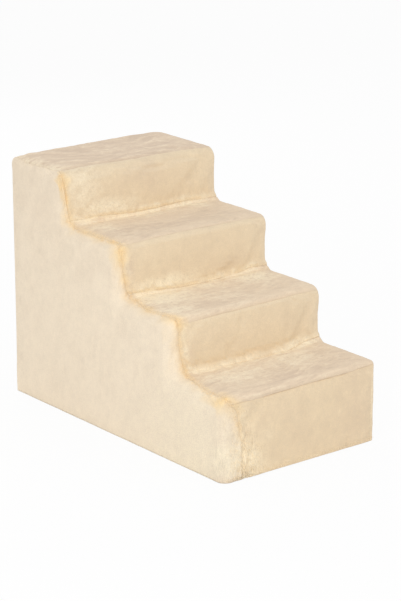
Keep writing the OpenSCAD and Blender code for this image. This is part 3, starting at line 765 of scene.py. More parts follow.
class SideSurface:
    """A side panel at its full loft: the ring over the side rounding, then the flat face inside it."""

    def __init__(self, shape, side, spacing):
        self.shape, self.side = shape, side
        self.across, self.along, self.away = side_ring(shape, side, spacing)
        ring = shape.point(self.across, self.along, 0)
        self.rim = ring[:, -1, 1:]
        count = max(4, round((self.rim[-1, 0] - self.rim[0, 0]) / spacing))
        hem = np.linspace(self.rim[-1, 0], self.rim[0, 0], count + 1)[1:-1]
        outline = np.concatenate([self.rim, np.stack([hem, np.full(count - 1, shape.z[0])], -1)])
        flat, triangles = filled_outline(outline, spacing * 1.15)
        rows, cols = self.across.shape
        # the flat face's outline is the ring's last column, and then come the hem and the filling
        place = np.concatenate([np.arange(rows) * cols + cols - 1, rows * cols + np.arange(len(flat) - rows)])
        self.face = flat[rows:]
        self.base = self.layer(np.zeros(rows * cols + len(self.face)))
        self.triangles = self.turned(place[triangles])
        self.quads = self.turned(grid_quads(rows, cols))

    def turned(self, faces):
        """Faces turned to the panel's own side."""
        a, b, c = (self.base[faces[:, i]] for i in (0, 1, -1))
        return faces[:, ::-1] if np.cross(b - a, c - a)[:, 0].sum() * self.side < 0 else faces

    def layer(self, depth):
        """The panel's points at a depth below the full loft."""
        count = self.across.size
        ring = self.shape.point(self.across.ravel(), self.along.ravel(), depth[:count])
        return np.concatenate([ring, np.column_stack([self.side * (HALF_W - depth[count:]), self.face])])

    def with_face(self, values):
        """Values of the ring, followed by zero for the points of the flat face."""
        return np.concatenate([values.ravel(), np.zeros(len(self.face))])


def side_relief(y, z):
    """Ripple of the side panels, and where it catches the light, more along the hem."""
    cloud = layered(y / 0.05, z / 0.06, 101)
    crush = layered((y + 0.3 * z) / 0.016, (z - 0.3 * y) / 0.026, 103)
    hem = mix(-0.6, 1.4, smooth((y - NOSE_Y[0] - 0.02) / 0.1)) * np.exp(-z / 0.025)
    return -MM * (0.4 * cloud + 0.3 * crush), 0.12 * cloud + 0.5 * crush + hem


def side_depth(panel, edge):
    """Depth below the full loft over a side panel, and its crests."""
    left, across, along, away = panel.side < 0, panel.across, panel.along, panel.away
    y, z = panel.base[:, 1], panel.base[:, 2]
    ripple, crest = side_relief(y, z)
    shaggy = smooth((0.05 - away) / 0.05) * smooth((0.12 - along) / 0.05) * left
    comb = panel.with_face(shaggy * combed(across, along, away))
    loft = 0 if panel.shape.loft is None else panel.shape.loft(panel.base)
    tight = mix(0.3, 1, smooth((BACK - y) / 0.06 if left else edge / 0.05))
    drawn, groove = panel.shape.side_dip(left, along, away)
    depth = panel.with_face(drawn + groove) + (ripple - 1.8 * MM * comb) * tight - loft * tight
    return depth, crest + 1.6 * comb


def side_ochre(panel):
    """Strength of the yellow pile beside the side seam, wider round the lowest steps."""
    shape, along, away = panel.shape, panel.along, panel.away
    strength = ochre_run(shape, along) if panel.side < 0 else along * 0 + 0.3
    patchy = 0.8 + 0.5 * noise(along / 0.02, -away / 0.02, 18)
    wide = 0.014 * bump(along, shape.along[1], 0.05) + 0.01 * bump(along, shape.along[3], 0.03)
    half_width = 0.004 + 0.02 * strength * patchy + wide
    return panel.with_face(np.clip(strength * patchy, 0, 1) * bump(away, 0, half_width))


def side_values(panel, edge, crest):
    """How the pile of a side panel looks at each of its points."""
    y, z = panel.base[:, 1], panel.base[:, 2]
    shag = smooth((0.03 - edge) / 0.03) * smooth((0.1 - z) / 0.05) * smooth((NOSE_Y[0] + 0.06 - y) / 0.06)
    low_front = smooth((0.32 - z) / 0.3) * smooth((0.05 - y) / 0.35)
    # darker is painted shade at the front just above the hem, where the hanging pile shades it, and it also
    # darkens a band higher up the front edge; it goes in as laid pile and takes from pale
    front = smooth((NOSE_Y[0] + 0.05 - y) / 0.04)
    above_hem = 0.45 * smooth((z - 0.05) / 0.04) * smooth((0.19 - z) / 0.03)
    darker = front * np.maximum(np.exp(-z / 0.018), above_hem)
    pale, laid = 0.3 * low_front, y * 0
    if panel.side < 0:
        pale, laid = np.clip(0.75 * low_front + 0.6 * shag, 0, 1), 0.22 * smooth((z - 0.25) / 0.2)
    return {"pale": pale * (1 - 0.8 * darker), "laid": laid + 0.8 * darker, "ochre": side_ochre(panel),
            "shag": shag, "seam": y * 0, "crest": crest}


def make_side(context, name, side):
    """The stepped side panel of one side."""
    shape = cover_shape(context)
    size = shape.size
    panel = SideSurface(shape, side, size.side_grain)
    edge = outline_distance(panel.base[:, 1:], panel.rim[::4], False)
    depth, crest = side_depth(panel, edge)
    outer = panel.layer(np.clip(depth, -MOST_UP, size.thickness - LEAST))
    inner = panel.layer(np.full(len(depth), size.thickness * LINING))
    points, quads, triangles = closed_shell(outer, inner, panel.quads, panel.triangles)
    values = {key: np.tile(value, 2) for key, value in side_values(panel, edge, crest).items()}
    return mesh_object(name, points, quads, triangles, values, np.tile(panel.base[:, 1:], (2, 1)))


# Cloth simulation

CLOTH = {"quality": 5, "mass": 0.35, "tension_stiffness": 12, "compression_stiffness": 12,
         "shear_stiffness": 6, "bending_stiffness": 0.6, "use_pressure": True, "uniform_pressure_force": 1.8,
         "shrink_min": -0.012, "vertex_group_mass": "sewn"}
CLOTH_FRAMES = 20
# Spacing of the points of the simulated step panels and side panels
CLOTH_GRAIN = 0.0075
CLOTH_SIDE_GRAIN = 0.011


def sewn_cover(shape):
    """Points and triangles of all panels at their full loft, and the points held at their seams."""
    points, faces, held = [], [], []
    start = 0
    for corner in range(2 * STEPS):
        across, along, _ = strip_grid(shape, corner, CLOTH_GRAIN, False)
        at = np.arange(across.size).reshape(across.shape)
        points.append(shape.point(across, along, 0).reshape(-1, 3))
        faces.append(split(grid_quads(*across.shape)[:, ::-1]) + start)
        held.append(np.unique(np.concatenate([at[0], at[-1], at[:, 0], at[:, -1]])) + start)
        start += across.size
    for side in (-1, 1):
        panel = SideSurface(shape, side, CLOTH_SIDE_GRAIN)
        both = np.concatenate([split(panel.quads), panel.triangles])
        points.append(panel.base)
        faces.append(both + start)
        held.append(np.unique(border_edges([both], len(panel.base))) + start)
        start += len(panel.base)
    return np.concatenate(points), np.concatenate(faces), np.concatenate(held)


def blown_up(rest, triangles, held):
    """How far each point moves when the cover is blown up slightly as cloth."""
    cloth = mesh_object("cloth_trial", rest, (), triangles)
    cloth.vertex_groups.new(name=CLOTH["vertex_group_mass"]).add(held.tolist(), 1, "REPLACE")
    modifier = cloth.modifiers.new("loft", "CLOTH")
    for key, value in CLOTH.items():
        setattr(modifier.settings, key, value)
    modifier.settings.effector_weights.gravity = 0
    modifier.point_cache.frame_start, modifier.point_cache.frame_end = 1, CLOTH_FRAMES
    scene = bpy.context.scene
    for number in range(1, CLOTH_FRAMES + 1):
        scene.frame_set(number)
    seen = cloth.evaluated_get(bpy.context.evaluated_depsgraph_get())
    moved = np.zeros(len(rest) * 3, np.float32)
    seen.data.vertices.foreach_get("co", moved)
    scene.frame_set(1)
    bpy.data.objects.remove(cloth)
    return moved.reshape(-1, 3) - rest


def simulated_loft(shape):
    """Simulates the sewn panels as cloth, and returns a function that gives the lift at points of the
    cover."""
    rest, triangles, held = sewn_cover(shape)
    moved = blown_up(rest, triangles, held)
    a, b, c = (rest[triangles[:, i]] for i in range(3))
    outward = np.zeros_like(rest)
    for i in range(3):
        np.add.at(outward, triangles[:, i], np.cross(b - a, c - a))
    lift = np.clip(np.einsum("ij,ij->i", moved, unit(outward)), -shape.size.puff, shape.size.puff)
    tree = BVHTree.FromPolygons(rest.tolist(), triangles.tolist())
    units = [Vector(row) for row in np.eye(3)]

    def at(points):
        flat = points.reshape(-1, 3)
        out = np.zeros(len(flat))
        for i, p in enumerate(flat.tolist()):
            near, _, face, _ = tree.find_nearest(p)
            corners = triangles[face]
            weights = geometry.barycentric_transform(near, *(Vector(rest[k]) for k in corners), *units)
            out[i] = sum(lift[k] * weight for k, weight in zip(corners, weights))
        return out.reshape(points.shape[:-1])

    return at


# Back panels and zip


class ZipPath:
    """The middle line of the zip on the back: down the left, round the corner, along the hem."""

    def __init__(self, sizes):
        tape_low, tape_high = TAPES[0]
        teeth_low, teeth_high = TEETH[0]
        self.bend_r = sizes.bend_r
        self.x = (SLIDER[0].x + SLIDER[1].x) / 2
        self.top = teeth_high.z
        self.row = self.x - teeth_low.x
        self.z = teeth_low.z + self.row
        self.tape = self.x - tape_low.x
        self.tape_y = tape_low.y, tape_high.y
        self.teeth_y = teeth_low.y, teeth_high.y
        self.down = self.top - self.z - self.bend_r
        self.round = self.bend_r * math.pi / 2
        self.total = self.down + self.round + teeth_high.x - self.x - self.bend_r

    def at(self, s, u):
        """x and z at a distance s along the line and u outward from it."""
        s, u = np.broadcast_arrays(np.asarray(s, float), np.asarray(u, float))
        angle = math.pi + (s - self.down) / self.bend_r
        bent_x = self.x + self.bend_r + (self.bend_r + u) * np.cos(angle)
        bent_z = self.z + self.bend_r + (self.bend_r + u) * np.sin(angle)
        level_x = self.x + self.bend_r + s - self.down - self.round
        on_down, on_bend = s <= self.down, s <= self.down + self.round
        x = np.where(on_down, self.x - u, np.where(on_bend, bent_x, level_x))
        z = np.where(on_down, self.top - s, np.where(on_bend, bent_z, self.z - u))
        return np.stack([x, z], -1)

    def line(self, spacing):
        """Places along the whole zip."""
        return self.at(np.linspace(0, self.total, round(self.total / spacing)), 0)


def on_back(flat, y):
    """Points of x and z, set at a depth y or at a depth for each."""
    return np.column_stack([flat[:, 0], np.broadcast_to(y, len(flat)), flat[:, 1]])


def dense(points, spacing):
    """A closed outline through the points, with no side longer than the spacing."""
    out = []
    for a, b in zip(points, points[1:] + points[:1]):
        a, b = np.array(a, float), np.array(b, float)
        count = max(1, math.ceil(np.hypot(*(b - a)) / spacing))
        out += [a + (b - a) * i / count for i in range(count)]
    return np.array(out)


def back_panel(context, name, points, soft_edges):
    """A plush panel of the back inside an outline of x and z, rolled over along its edges and thin
    under the zip's tapes."""
    thickness = context.scene.pet_stairs.cover.thickness
    outline = dense(points, OUTLINE_STEP)
    flat, triangles = filled_outline(outline, BACK_GRAIN)
    edge = outline_distance(flat, outline)
    from_zip = outline_distance(flat, ZipPath(context.scene.pet_stairs.zipper).line(0.004), False)
    rolled = np.clip(1 - edge / BACK_ROLL, 0, 1)
    depth = BACK_ROLL_DEEP * (1 - np.sqrt(np.clip(1 - rolled**2, 0, 1)))
    cloud = layered(flat[:, 0] / 0.05, flat[:, 1] / 0.06, 131)
    crush = layered(flat[:, 0] / 0.017, flat[:, 1] / 0.026, 137)
    depth -= MM * (0.4 * cloud + 0.3 * crush)
    depth -= 0.9 * MM * soft_edges * bump(edge, 0.009, 0.006)
    depth -= 1.6 * MM * soft_edges * smooth((edge - 0.01) / 0.1)
    under = mix(2.9 * MM, thickness * LINING, smooth((from_zip - 0.016) / 0.008))
    depth = np.minimum(depth + 0.3 * MM, under - 0.4 * MM)
    outer, inner = (on_back(flat, BACK - v) for v in (depth, under))
    points, quads, triangles = closed_shell(outer, inner, (), triangles)
    pale = 0.7 * bump(edge, 0.002, 0.006)
    values = {"pale": pale, "laid": pale * 0, "ochre": 0.35 * bump(edge, 0, 0.004), "shag": pale * 0,
              "seam": pale * 0, "crest": 0.12 * cloud + 0.5 * crush}
    values = {key: np.tile(value, 2) for key, value in values.items()}
    return mesh_object(name, points, quads, triangles, values, np.tile(flat, (2, 1)))


def back_panels(context):
    """The flap inside the zip, and the border outside it."""
    settings = context.scene.pet_stairs
    path = ZipPath(settings.zipper)
    half_slot = settings.zipper.slot_w / 2
    cover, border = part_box("back_cover"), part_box("back_border")
    top, right, left = cover[1].z, cover[1].x, border[0].x
    low = HEM - settings.cover.hem_drop
    bend = np.linspace(path.down, path.down + path.round, 24)
    inside, outside = (path.at(bend, u).tolist() for u in (-half_slot, half_slot))
    flap = [(path.x + half_slot, top), *inside, (right, path.z + half_slot), (right, top)]
    strip = [(left, low), (right, low), (right, path.z - half_slot), *outside[::-1],
             (path.x - half_slot, top), (left, top)]
    return (back_panel(context, "back_cover_plush", flap, 1.0),
            back_panel(context, "back_border_plush", strip, 0.4))


def swept(path, name, u, y):
    """A closed strip along the zip, from cross-section points u outward and y out of the back."""
    s = np.arange(0, path.total, ZIP_STEP)
    rows, cols = len(s), len(u)
    grid = np.stack([np.repeat(s, cols), np.tile(u, rows)], -1)
    ring = on_back(path.at(*grid.T), np.tile(y, rows))
    quads, caps = ring_quads(rows, cols), ring_caps(rows, cols)[:, ::-1]
    if not faces_outward(ring, quads, caps):
        quads, caps = quads[:, ::-1], caps[:, ::-1]
    return mesh_object(name, ring, quads, caps, None, grid)


# Node trees


def arithmetic(operation):
    """The plain and the reflected form of an operator, as Math nodes."""
    return (lambda self, other: self.maths(operation, self, other),
            lambda self, other: self.maths(operation, other, self))


class Socket:
    """An output of a node tree that takes arithmetic, and adds the Math nodes for it."""

    def __init__(self, tree, end):
        self.tree, self.end = tree, end

    def maths(self, operation, first, second, clamp=False):
        node = self.tree.nodes.new("ShaderNodeMath")
        node.operation, node.use_clamp = operation, clamp
        feed(self.tree, node.inputs[0], first)
        feed(self.tree, node.inputs[1], second)
        return Socket(self.tree, node.outputs[0])

    __add__, __radd__ = arithmetic("ADD")
    __sub__, __rsub__ = arithmetic("SUBTRACT")
    __mul__, __rmul__ = arithmetic("MULTIPLY")
    __pow__, __rpow__ = arithmetic("POWER")

    def clamped(self):
        return self.maths("ADD", self, 0.0, True)


def feed(tree, end, value):
    """Links a socket to an output, or sets its value."""
    if isinstance(value, Socket):
        tree.links.new(value.end, end)
    else:
        end.default_value = value


class Sheet:
    """Adds nodes of any type to a tree, settings first and then the values or links of sockets."""

    def __init__(self, tree):
        self.tree = tree

    def node(self, kind, settings=None, inputs=None, out=0):
        made = self.tree.nodes.new(kind)
        for key, value in (settings or {}).items():
            setattr(made, key, value)
        for key, value in (inputs or {}).items():
            feed(self.tree, made.inputs[key], value)
        return Socket(self.tree, made.outputs[out]) if made.outputs else made

    def place(self):
        return self.node("ShaderNodeTexCoord", out="Object")

    def cloth(self):
        return self.node("ShaderNodeUVMap", {"uv_map": "cloth"})

    def blend(self, a, b, share):
        """Mixes two colours."""
        return self.node("ShaderNodeMix", {"data_type": "RGBA"}, {0: share, 6: a, 7: b}, 2)

    def tint(self, tone, amount):
        """Makes a colour brighter or darker by a factor."""
        tone = tone if isinstance(tone, Socket) else tuple(tone)[:3]
        return self.node("ShaderNodeVectorMath", {"operation": "SCALE"}, {0: tone, "Scale": amount})

    def noise(self, where, scale, detail=2.0, roughness=0.5, distortion=0.0):
        return self.node("ShaderNodeTexNoise", None, {"Vector": where, "Scale": scale, "Detail": detail,
                                                      "Roughness": roughness, "Distortion": distortion})

    def stretched(self, where, x, y, z=1.0):
        """Coordinates scaled along each axis."""
        return self.node("ShaderNodeMapping", None, {"Vector": where, "Scale": (x, y, z)})

    def rough(self, height, strength, distance):
        """A normal that follows a height."""
        return self.node("ShaderNodeBump", None, {"Height": height, "Strength": strength,
                                                  "Distance": distance})

    def rays(self, *kinds):
        """1 for rays of these kinds, and 0 for others."""
        return sum(self.node("ShaderNodeLightPath", out=kind) for kind in kinds).clamped()


def rgba(tone):
    return (*tone, 1.0)


def material(name, roughness, **constants):
    """A material, its sheet and its shader's sockets; constants go on the sockets of those names."""
    made = bpy.data.materials.new(name)
    made.use_nodes = True
    shader = made.node_tree.nodes["Principled BSDF"]
    shader.inputs["Roughness"].default_value = roughness
    for key, value in constants.items():
        shader.inputs[key.replace("_", " ")].default_value = value
    return made, Sheet(made.node_tree), shader.inputs


def plush(context, name, tone, streaks):
    """Short-pile plush: mottled, paler where brushed up, rosier where laid, yellow at the side seam.
    streaks says how much of the colour follows the creases."""
    colours = context.scene.pet_stairs.plush
    made, sheet, ends = material(name, 0.92, Sheen_Weight=0.12, Sheen_Roughness=0.6, Specular_IOR_Level=0.15)
    where, cloth = sheet.place(), sheet.cloth()
    pale, laid, ochre, shag, seam, crest = (
        sheet.node("ShaderNodeAttribute", {"attribute_name": key}, out="Fac")
        for key in ("pale", "laid", "ochre", "shag", "seam", "crest"))
    clouds = sheet.noise(where, 16.0, 3.0, 0.6, 0.4)
    mottle = sheet.noise(where, 95.0, 3.0, 0.6, 0.5)
    fine = sheet.noise(where, 420.0, 2.0, 0.6)
    streak = sheet.noise(sheet.stretched(cloth, 20.0, 85.0), 1.0, 4.0, 0.62, 2.2)
    broad = sheet.noise(sheet.stretched(cloth, 7.0, 26.0), 1.0, 2.0, 0.5, 1.2)
    comb = sheet.noise(sheet.stretched(cloth, 330.0, 40.0), 1.0, 2.0, 0.6, 0.6)
    # crest paints light and shade from the relief: paler and brighter where creases and rolls would catch the
    # light, rosier and darker in tucks and hollows
    lying = (laid * 0.7 + (0.5 - broad) * (0.6 * streaks) + (0.52 - streak) * (1.2 * streaks)
             + (0.5 - clouds) * 0.4 - crest * (0.12 + 0.42 * streaks)).clamped()
    up = (pale * (0.65 + 0.7 * mottle) + (streak - 0.56) * (1.6 * streaks) + (mottle - 0.6) * 0.8
          + crest * (0.1 + 0.3 * streaks)).clamped()
    shade = sheet.blend(rgba(tone), rgba(colours.rose), lying)
    shade = sheet.blend(shade, rgba(colours.pale), up)
    shade = sheet.blend(shade, rgba(colours.ochre), (ochre * (0.55 + 0.9 * mottle)).clamped())
    shade = sheet.blend(shade, rgba(colours.thread), (seam * (0.3 + 1.0 * mottle)).clamped())
    shade = sheet.tint(shade, 0.835 + 0.13 * mottle + 0.2 * fine + crest * 0.05
                       + (comb - 0.5) * (0.03 + 0.7 * shag) + (fine - 0.5) * pale * 0.25)
    feed(sheet.tree, ends["Base Color"], shade)
    pile = sheet.noise(where, 900.0, 2.0, 0.6)
    height = 0.55 * pile + 0.5 * fine + 0.8 * mottle + comb * (0.15 + 1.6 * shag)
    feed(sheet.tree, ends["Normal"], sheet.rough(height, 0.5, 0.0009))
    return made


def foam_finish(context):
    """Pale open-cell foam."""
    tone = context.scene.pet_stairs.plush.foam
    made, sheet, ends = material("open_cell_foam", 0.95, Specular_IOR_Level=0.2)
    where = sheet.place()
    cells = sheet.node("ShaderNodeTexVoronoi", {"feature": "DISTANCE_TO_EDGE"},
                       {"Vector": where, "Scale": 620.0})
    clouds = sheet.noise(where, 30.0, 3.0)
    feed(sheet.tree, ends["Base Color"], sheet.tint(rgba(tone), 0.86 + 0.12 * clouds + 0.5 * cells))
    feed(sheet.tree, ends["Normal"], sheet.rough(cells, 0.7, 0.001))
    return made


def woven(name, tone, scale):
    """A plain weave over the piece's own map."""
    made, sheet, ends = material(name, 0.85, Sheen_Weight=0.2, Specular_IOR_Level=0.25)
    given = {"Vector": sheet.cloth(), "Scale": scale, "Distortion": 0.6, "Detail": 1.0}
    warp, weft = (sheet.node("ShaderNodeTexWave", {"bands_direction": axis}, given) for axis in "XY")
    dust = sheet.noise(sheet.place(), 60.0, 3.0)
    height = warp * 0.5 + weft * 0.5
    feed(sheet.tree, ends["Base Color"], sheet.tint(rgba(tone), 0.84 + 0.14 * height + 0.1 * dust))
    feed(sheet.tree, ends["Normal"], sheet.rough(height, 0.6, 0.0004))
    return made


def moulded(name, tone, roughness, metallic=0.0):
    """Moulded plastic, rubber or satin metal with faint wear."""
    made, sheet, ends = material(name, roughness, Metallic=metallic)
    where = sheet.place()
    wear = sheet.noise(where, 180.0, 4.0, 0.65)
    height = sheet.noise(sheet.stretched(where, 300.0, 300.0, 2200.0), 1.0, 2.0) if metallic else wear
    feed(sheet.tree, ends["Base Color"], sheet.tint(rgba(tone), 0.9 + 0.14 * wear))
    feed(sheet.tree, ends["Roughness"], (roughness - 0.1 + 0.2 * wear).clamped())
    feed(sheet.tree, ends["Normal"], sheet.rough(height, 0.2, 0.0003))
    return made


def tuft_finish(context, name, tone):
    """The loose tips of the pile, mottled towards the brushed pile's colour, and painted brighter to lift the
    shade that the tufts cast on one another.
    """
    made, sheet, ends = material(name, 0.9, Sheen_Weight=0.3, Specular_IOR_Level=0.15)
    where = sheet.place()
    clouds = sheet.noise(where, 70.0, 3.0, 0.6)
    shade = sheet.blend(rgba(tone), rgba(context.scene.pet_stairs.plush.pale), (clouds * 1.6 - 0.4).clamped())
    # The 1.07 lift is painted light against the tufts' own shade
    feed(sheet.tree, ends["Base Color"], sheet.tint(shade, 1.07 + 0.1 * sheet.noise(where, 500.0)))
    return made


# Geometry Nodes


def grown(holder, tree, values):
    """Runs a Geometry Nodes tree on an object and keeps its result as the object's plain mesh."""
    modifier = holder.modifiers.new("grow", "NODES")
    modifier.node_group = tree
    for item in tree.interface.items_tree:
        if item.item_type == "SOCKET" and item.in_out == "INPUT" and item.name in values:
            modifier[item.identifier] = values[item.name]
    holder.update_tag()
    graph = bpy.context.evaluated_depsgraph_get()
    graph.update()
    mesh = bpy.data.meshes.new_from_object(holder.evaluated_get(graph), depsgraph=graph)
    holder.modifiers.remove(modifier)
    holder.data = mesh
    mesh.materials.clear()
    mesh.materials.append(values["Material"])
    mesh.polygons.foreach_set("material_index", np.zeros(len(mesh.polygons), np.int32))
    mesh.polygons.foreach_set("use_smooth", np.ones(len(mesh.polygons), bool))
    return holder


def scatter_tree(name, sizes, build):
    """A tree that puts one small shape on each point, turned to the point's lean and twist and scaled by
    its scale. build makes the shape from the sizes, which are inputs of the tree."""
    tree = bpy.data.node_groups.new(name, "GeometryNodeTree")
    tree.interface.new_socket("Geometry", in_out="INPUT", socket_type="NodeSocketGeometry")
    tree.interface.new_socket("Geometry", in_out="OUTPUT", socket_type="NodeSocketGeometry")
    for key in sizes:
        tree.interface.new_socket(key, in_out="INPUT", socket_type="NodeSocketFloat")
    tree.interface.new_socket("Material", in_out="INPUT", socket_type="NodeSocketMaterial")
    sheet = Sheet(tree)
    given = tree.nodes.new("NodeGroupInput")
    ends = {key: Socket(tree, given.outputs[key]) for key in [*sizes, "Geometry", "Material"]}
    lean, twist, scale = (
        sheet.node("GeometryNodeInputNamedAttribute", {"data_type": kind}, {"Name": key})
        for key, kind in (("lean", "FLOAT_VECTOR"), ("twist", "FLOAT_VECTOR"), ("scale", "FLOAT")))
    turned = sheet.node("FunctionNodeAlignRotationToVector", {"axis": "Z"}, {"Vector": lean})
    turned = sheet.node("FunctionNodeAlignRotationToVector", {"axis": "X", "pivot_axis": "Z"},
                        {"Rotation": turned, "Vector": twist})
    points = sheet.node("GeometryNodeMeshToPoints", None, {"Mesh": ends["Geometry"]})
    placed = sheet.node("GeometryNodeInstanceOnPoints", None, {
        "Points": points, "Instance": build(sheet, ends), "Rotation": turned, "Scale": scale})
    real = sheet.node("GeometryNodeRealizeInstances", None, {"Geometry": placed})
    real = sheet.node("GeometryNodeSetMaterial", None, {"Geometry": real, "Material": ends["Material"]})
    sheet.node("NodeGroupOutput", None, {"Geometry": real})
    return tree


def scattered(name, build, sizes, points, lean, twist, scale, finish):
    """One small shape on each point. One lean, twist or scale may do for all of them."""
    count = len(points)
    holder = mesh_object(name, points, values={"lean": np.broadcast_to(lean, (count, 3)),
                                               "twist": np.broadcast_to(twist, (count, 3)),
                                               "scale": np.broadcast_to(scale, count)})
    return grown(holder, scatter_tree(name + "_tree", sizes, build), {**sizes, "Material": finish})


def thread(sheet, ends, curve, thickness, sides):
    """Gives a curve a round section, whose radius follows a thickness from 0 to 1."""
    curve = sheet.node("GeometryNodeSetCurveRadius", None, {"Curve": curve, "Radius": thickness})
    ring = sheet.node("GeometryNodeCurvePrimitiveCircle", None, {"Resolution": sides,
                                                                 "Radius": ends["Radius"]})
    return sheet.node("GeometryNodeCurveToMesh", None, {"Curve": curve, "Profile Curve": ring,
                                                        "Fill Caps": True})


def xyz(sheet, **parts):
    return sheet.node("ShaderNodeCombineXYZ", None, parts)


def tuft_shape(sheet, ends):
    """A tapered, slightly bent tuft that grows along Z and bends towards X."""
    long = ends["Length"]
    curve = sheet.node("GeometryNodeCurveQuadraticBezier", None, {
        "Resolution": 3, "Start": (0.0, 0.0, 0.0), "Middle": xyz(sheet, X=long * 0.02, Z=long * 0.55),
        "End": xyz(sheet, X=long * 0.35, Z=long * 0.9)})
    share = sheet.node("GeometryNodeSplineParameter")
    return thread(sheet, ends, curve, (1.04 - share) ** 0.7, 3)


def stitch_shape(sheet, ends):
    """One stitch: a rounded thread that lies along X."""
    curve = sheet.node("GeometryNodeCurveQuadraticBezier", None, {
        "Resolution": 5, "Start": xyz(sheet, X=ends["Length"] * -0.5),
        "Middle": xyz(sheet, Z=ends["Radius"] * 1.6), "End": xyz(sheet, X=ends["Length"] * 0.5)})
    share = sheet.node("GeometryNodeSplineParameter")
    return thread(sheet, ends, curve, (share * (1.0 - share) * 3.6 + 0.25) ** 0.5, 6)


def dot_shape(sheet, ends):
    """A low rubber dome that stands along Z."""
    ball = sheet.node("GeometryNodeMeshUVSphere", None, {"Segments": 20, "Rings": 8, "Radius": 1.0})
    size = xyz(sheet, X=ends["Radius"], Y=ends["Radius"], Z=ends["Length"])
    return sheet.node("GeometryNodeTransform", None, {"Geometry": ball, "Scale": size})


def tooth_shape(sheet, ends):
    """One moulded tooth: a block along X with a rounded head, thick along Z."""
    size = xyz(sheet, X=ends["Reach"], Y=ends["Width"], Z=ends["Thickness"])
    block = sheet.node("GeometryNodeMeshCube", None, {"Size": size, "Vertices X": 3, "Vertices Y": 3,
                                                      "Vertices Z": 3})
    return sheet.node("GeometryNodeSubdivisionSurface", None, {"Mesh": block, "Level": 1,
                                                               "Edge Crease": 0.35})


def dress(piece, finish, body, nodes=()):
    """Gives a finished piece its material and slot, attaches it to its body, and hides the CAD nodes that it
    stands for.
    """
    if finish is not None:
        piece.data.materials.clear()
        piece.data.materials.append(finish)
    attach(piece, body)
    if nodes:
        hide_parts(*nodes)
    return piece


# Stage

WHITE = (1, 1, 1, 1)
FLOOR_HALF = 30
LAMP_AIM = (0, 0, 0.25)
# Name, place, size and power of each softbox
LAMPS = (
    ("left_softbox", (-2.2, -1.6, 1.7), 1.8, 26), ("front_softbox", (1.4, -2.6, 1.5), 1.6, 12),
    ("top_softbox", (0.3, 0.4, 2.8), 2.0, 3), ("back_softbox", (0.8, 2.6, 1.6), 1.8, 14),
)
# The photograph's camera: angles in degrees, focal length and picture height in pixels
AZIMUTH, ELEVATION = -38.574, 17.116
DISTANCE = 4.8
AIM = (0.1503, 0.1521, 0.1803)
FOCAL, PICTURE_HEIGHT = 2250.0, 601.0
SENSOR = 36.0


def studio_world(scene):
    """Even light from a room, which the camera sees as white."""
    world = scene.world or bpy.data.worlds.new("studio")
    scene.world = world
    world.use_nodes = True
    world.node_tree.nodes.clear()
    sheet = Sheet(world.node_tree)
    room, white = (sheet.node("ShaderNodeBackground", None, {"Color": WHITE, "Strength": strength})
                   for strength in (0.72, 1.0))
    clear = sheet.rays("Is Camera Ray", "Is Transmission Ray")
    seen = sheet.node("ShaderNodeMixShader", None, {0: clear, 1: room, 2: white})
    sheet.node("ShaderNodeOutputWorld", None, {"Surface": seen})


def paper_floor():
    """A floor that the camera sees as almost white, with a faint shadow on it."""
    half = FLOOR_HALF
    floor = mesh_object("floor", [(-half, -half, 0), (half, -half, 0), (half, half, 0), (-half, half, 0)],
                        [(0, 1, 2, 3)])
    made = bpy.data.materials.new("floor_paper")
    made.use_nodes = True
    made.node_tree.nodes.clear()
    sheet = Sheet(made.node_tree)
    clear = sheet.rays("Is Camera Ray", "Is Glossy Ray", "Is Transmission Ray")
    grain = sheet.noise(sheet.place(), 40.0, 2.0)
    tone = sheet.tint((0.86, 0.86, 0.86), 0.99 + 0.02 * grain)
    paper = sheet.node("ShaderNodeBsdfDiffuse", None, {"Color": tone})
    glow = sheet.node("ShaderNodeEmission", None, {"Color": WHITE, "Strength": 1.0})
    seen = sheet.node("ShaderNodeMixShader", None, {0: clear * 0.93, 1: paper, 2: glow})
    sheet.node("ShaderNodeOutputMaterial", None, {"Surface": seen})
    floor.data.materials.append(made)


def softboxes(scene):
    """Four large lamps round the stairs."""
    for name, place, size, power in LAMPS:
        lamp = bpy.data.lights.new(name, "AREA")
        lamp.energy, lamp.size = power, size
        holder = bpy.data.objects.new(name, lamp)
        scene.collection.objects.link(holder)
        holder.location = place
        aim = Vector(LAMP_AIM) - Vector(place)
        holder.rotation_euler = aim.to_track_quat("-Z", "Y").to_euler()


def photograph_camera(scene):
    """A camera that sees the stairs as the photograph does."""
    azimuth, elevation = math.radians(AZIMUTH), math.radians(ELEVATION)
    back = Vector((math.sin(azimuth) * math.cos(elevation), -math.cos(azimuth) * math.cos(elevation),
                   math.sin(elevation)))
    lens = bpy.data.cameras.new("camera")
    lens.sensor_width, lens.sensor_fit = SENSOR, "AUTO"
    lens.lens = FOCAL * SENSOR / PICTURE_HEIGHT
    lens.clip_start, lens.clip_end = 0.05, 50.0
    camera = bpy.data.objects.new("camera", lens)
    scene.collection.objects.link(camera)
    camera.location = Vector(AIM) + DISTANCE * back
    camera.rotation_euler = (-back).to_track_quat("-Z", "Y").to_euler()
    scene.camera = camera


class PETSTAIRS_OT_stage(bpy.types.Operator):
    """Makes the floor, the soft studio light and the camera of the photograph."""
    bl_idname = "petstairs.stage"
    bl_label = "Stage"

    def execute(self, context):
        context.scene.view_settings.view_transform = "Standard"
        studio_world(context.scene)
        paper_floor()
        softboxes(context.scene)
        photograph_camera(context.scene)
        return {"FINISHED"}


# Cover, core and base


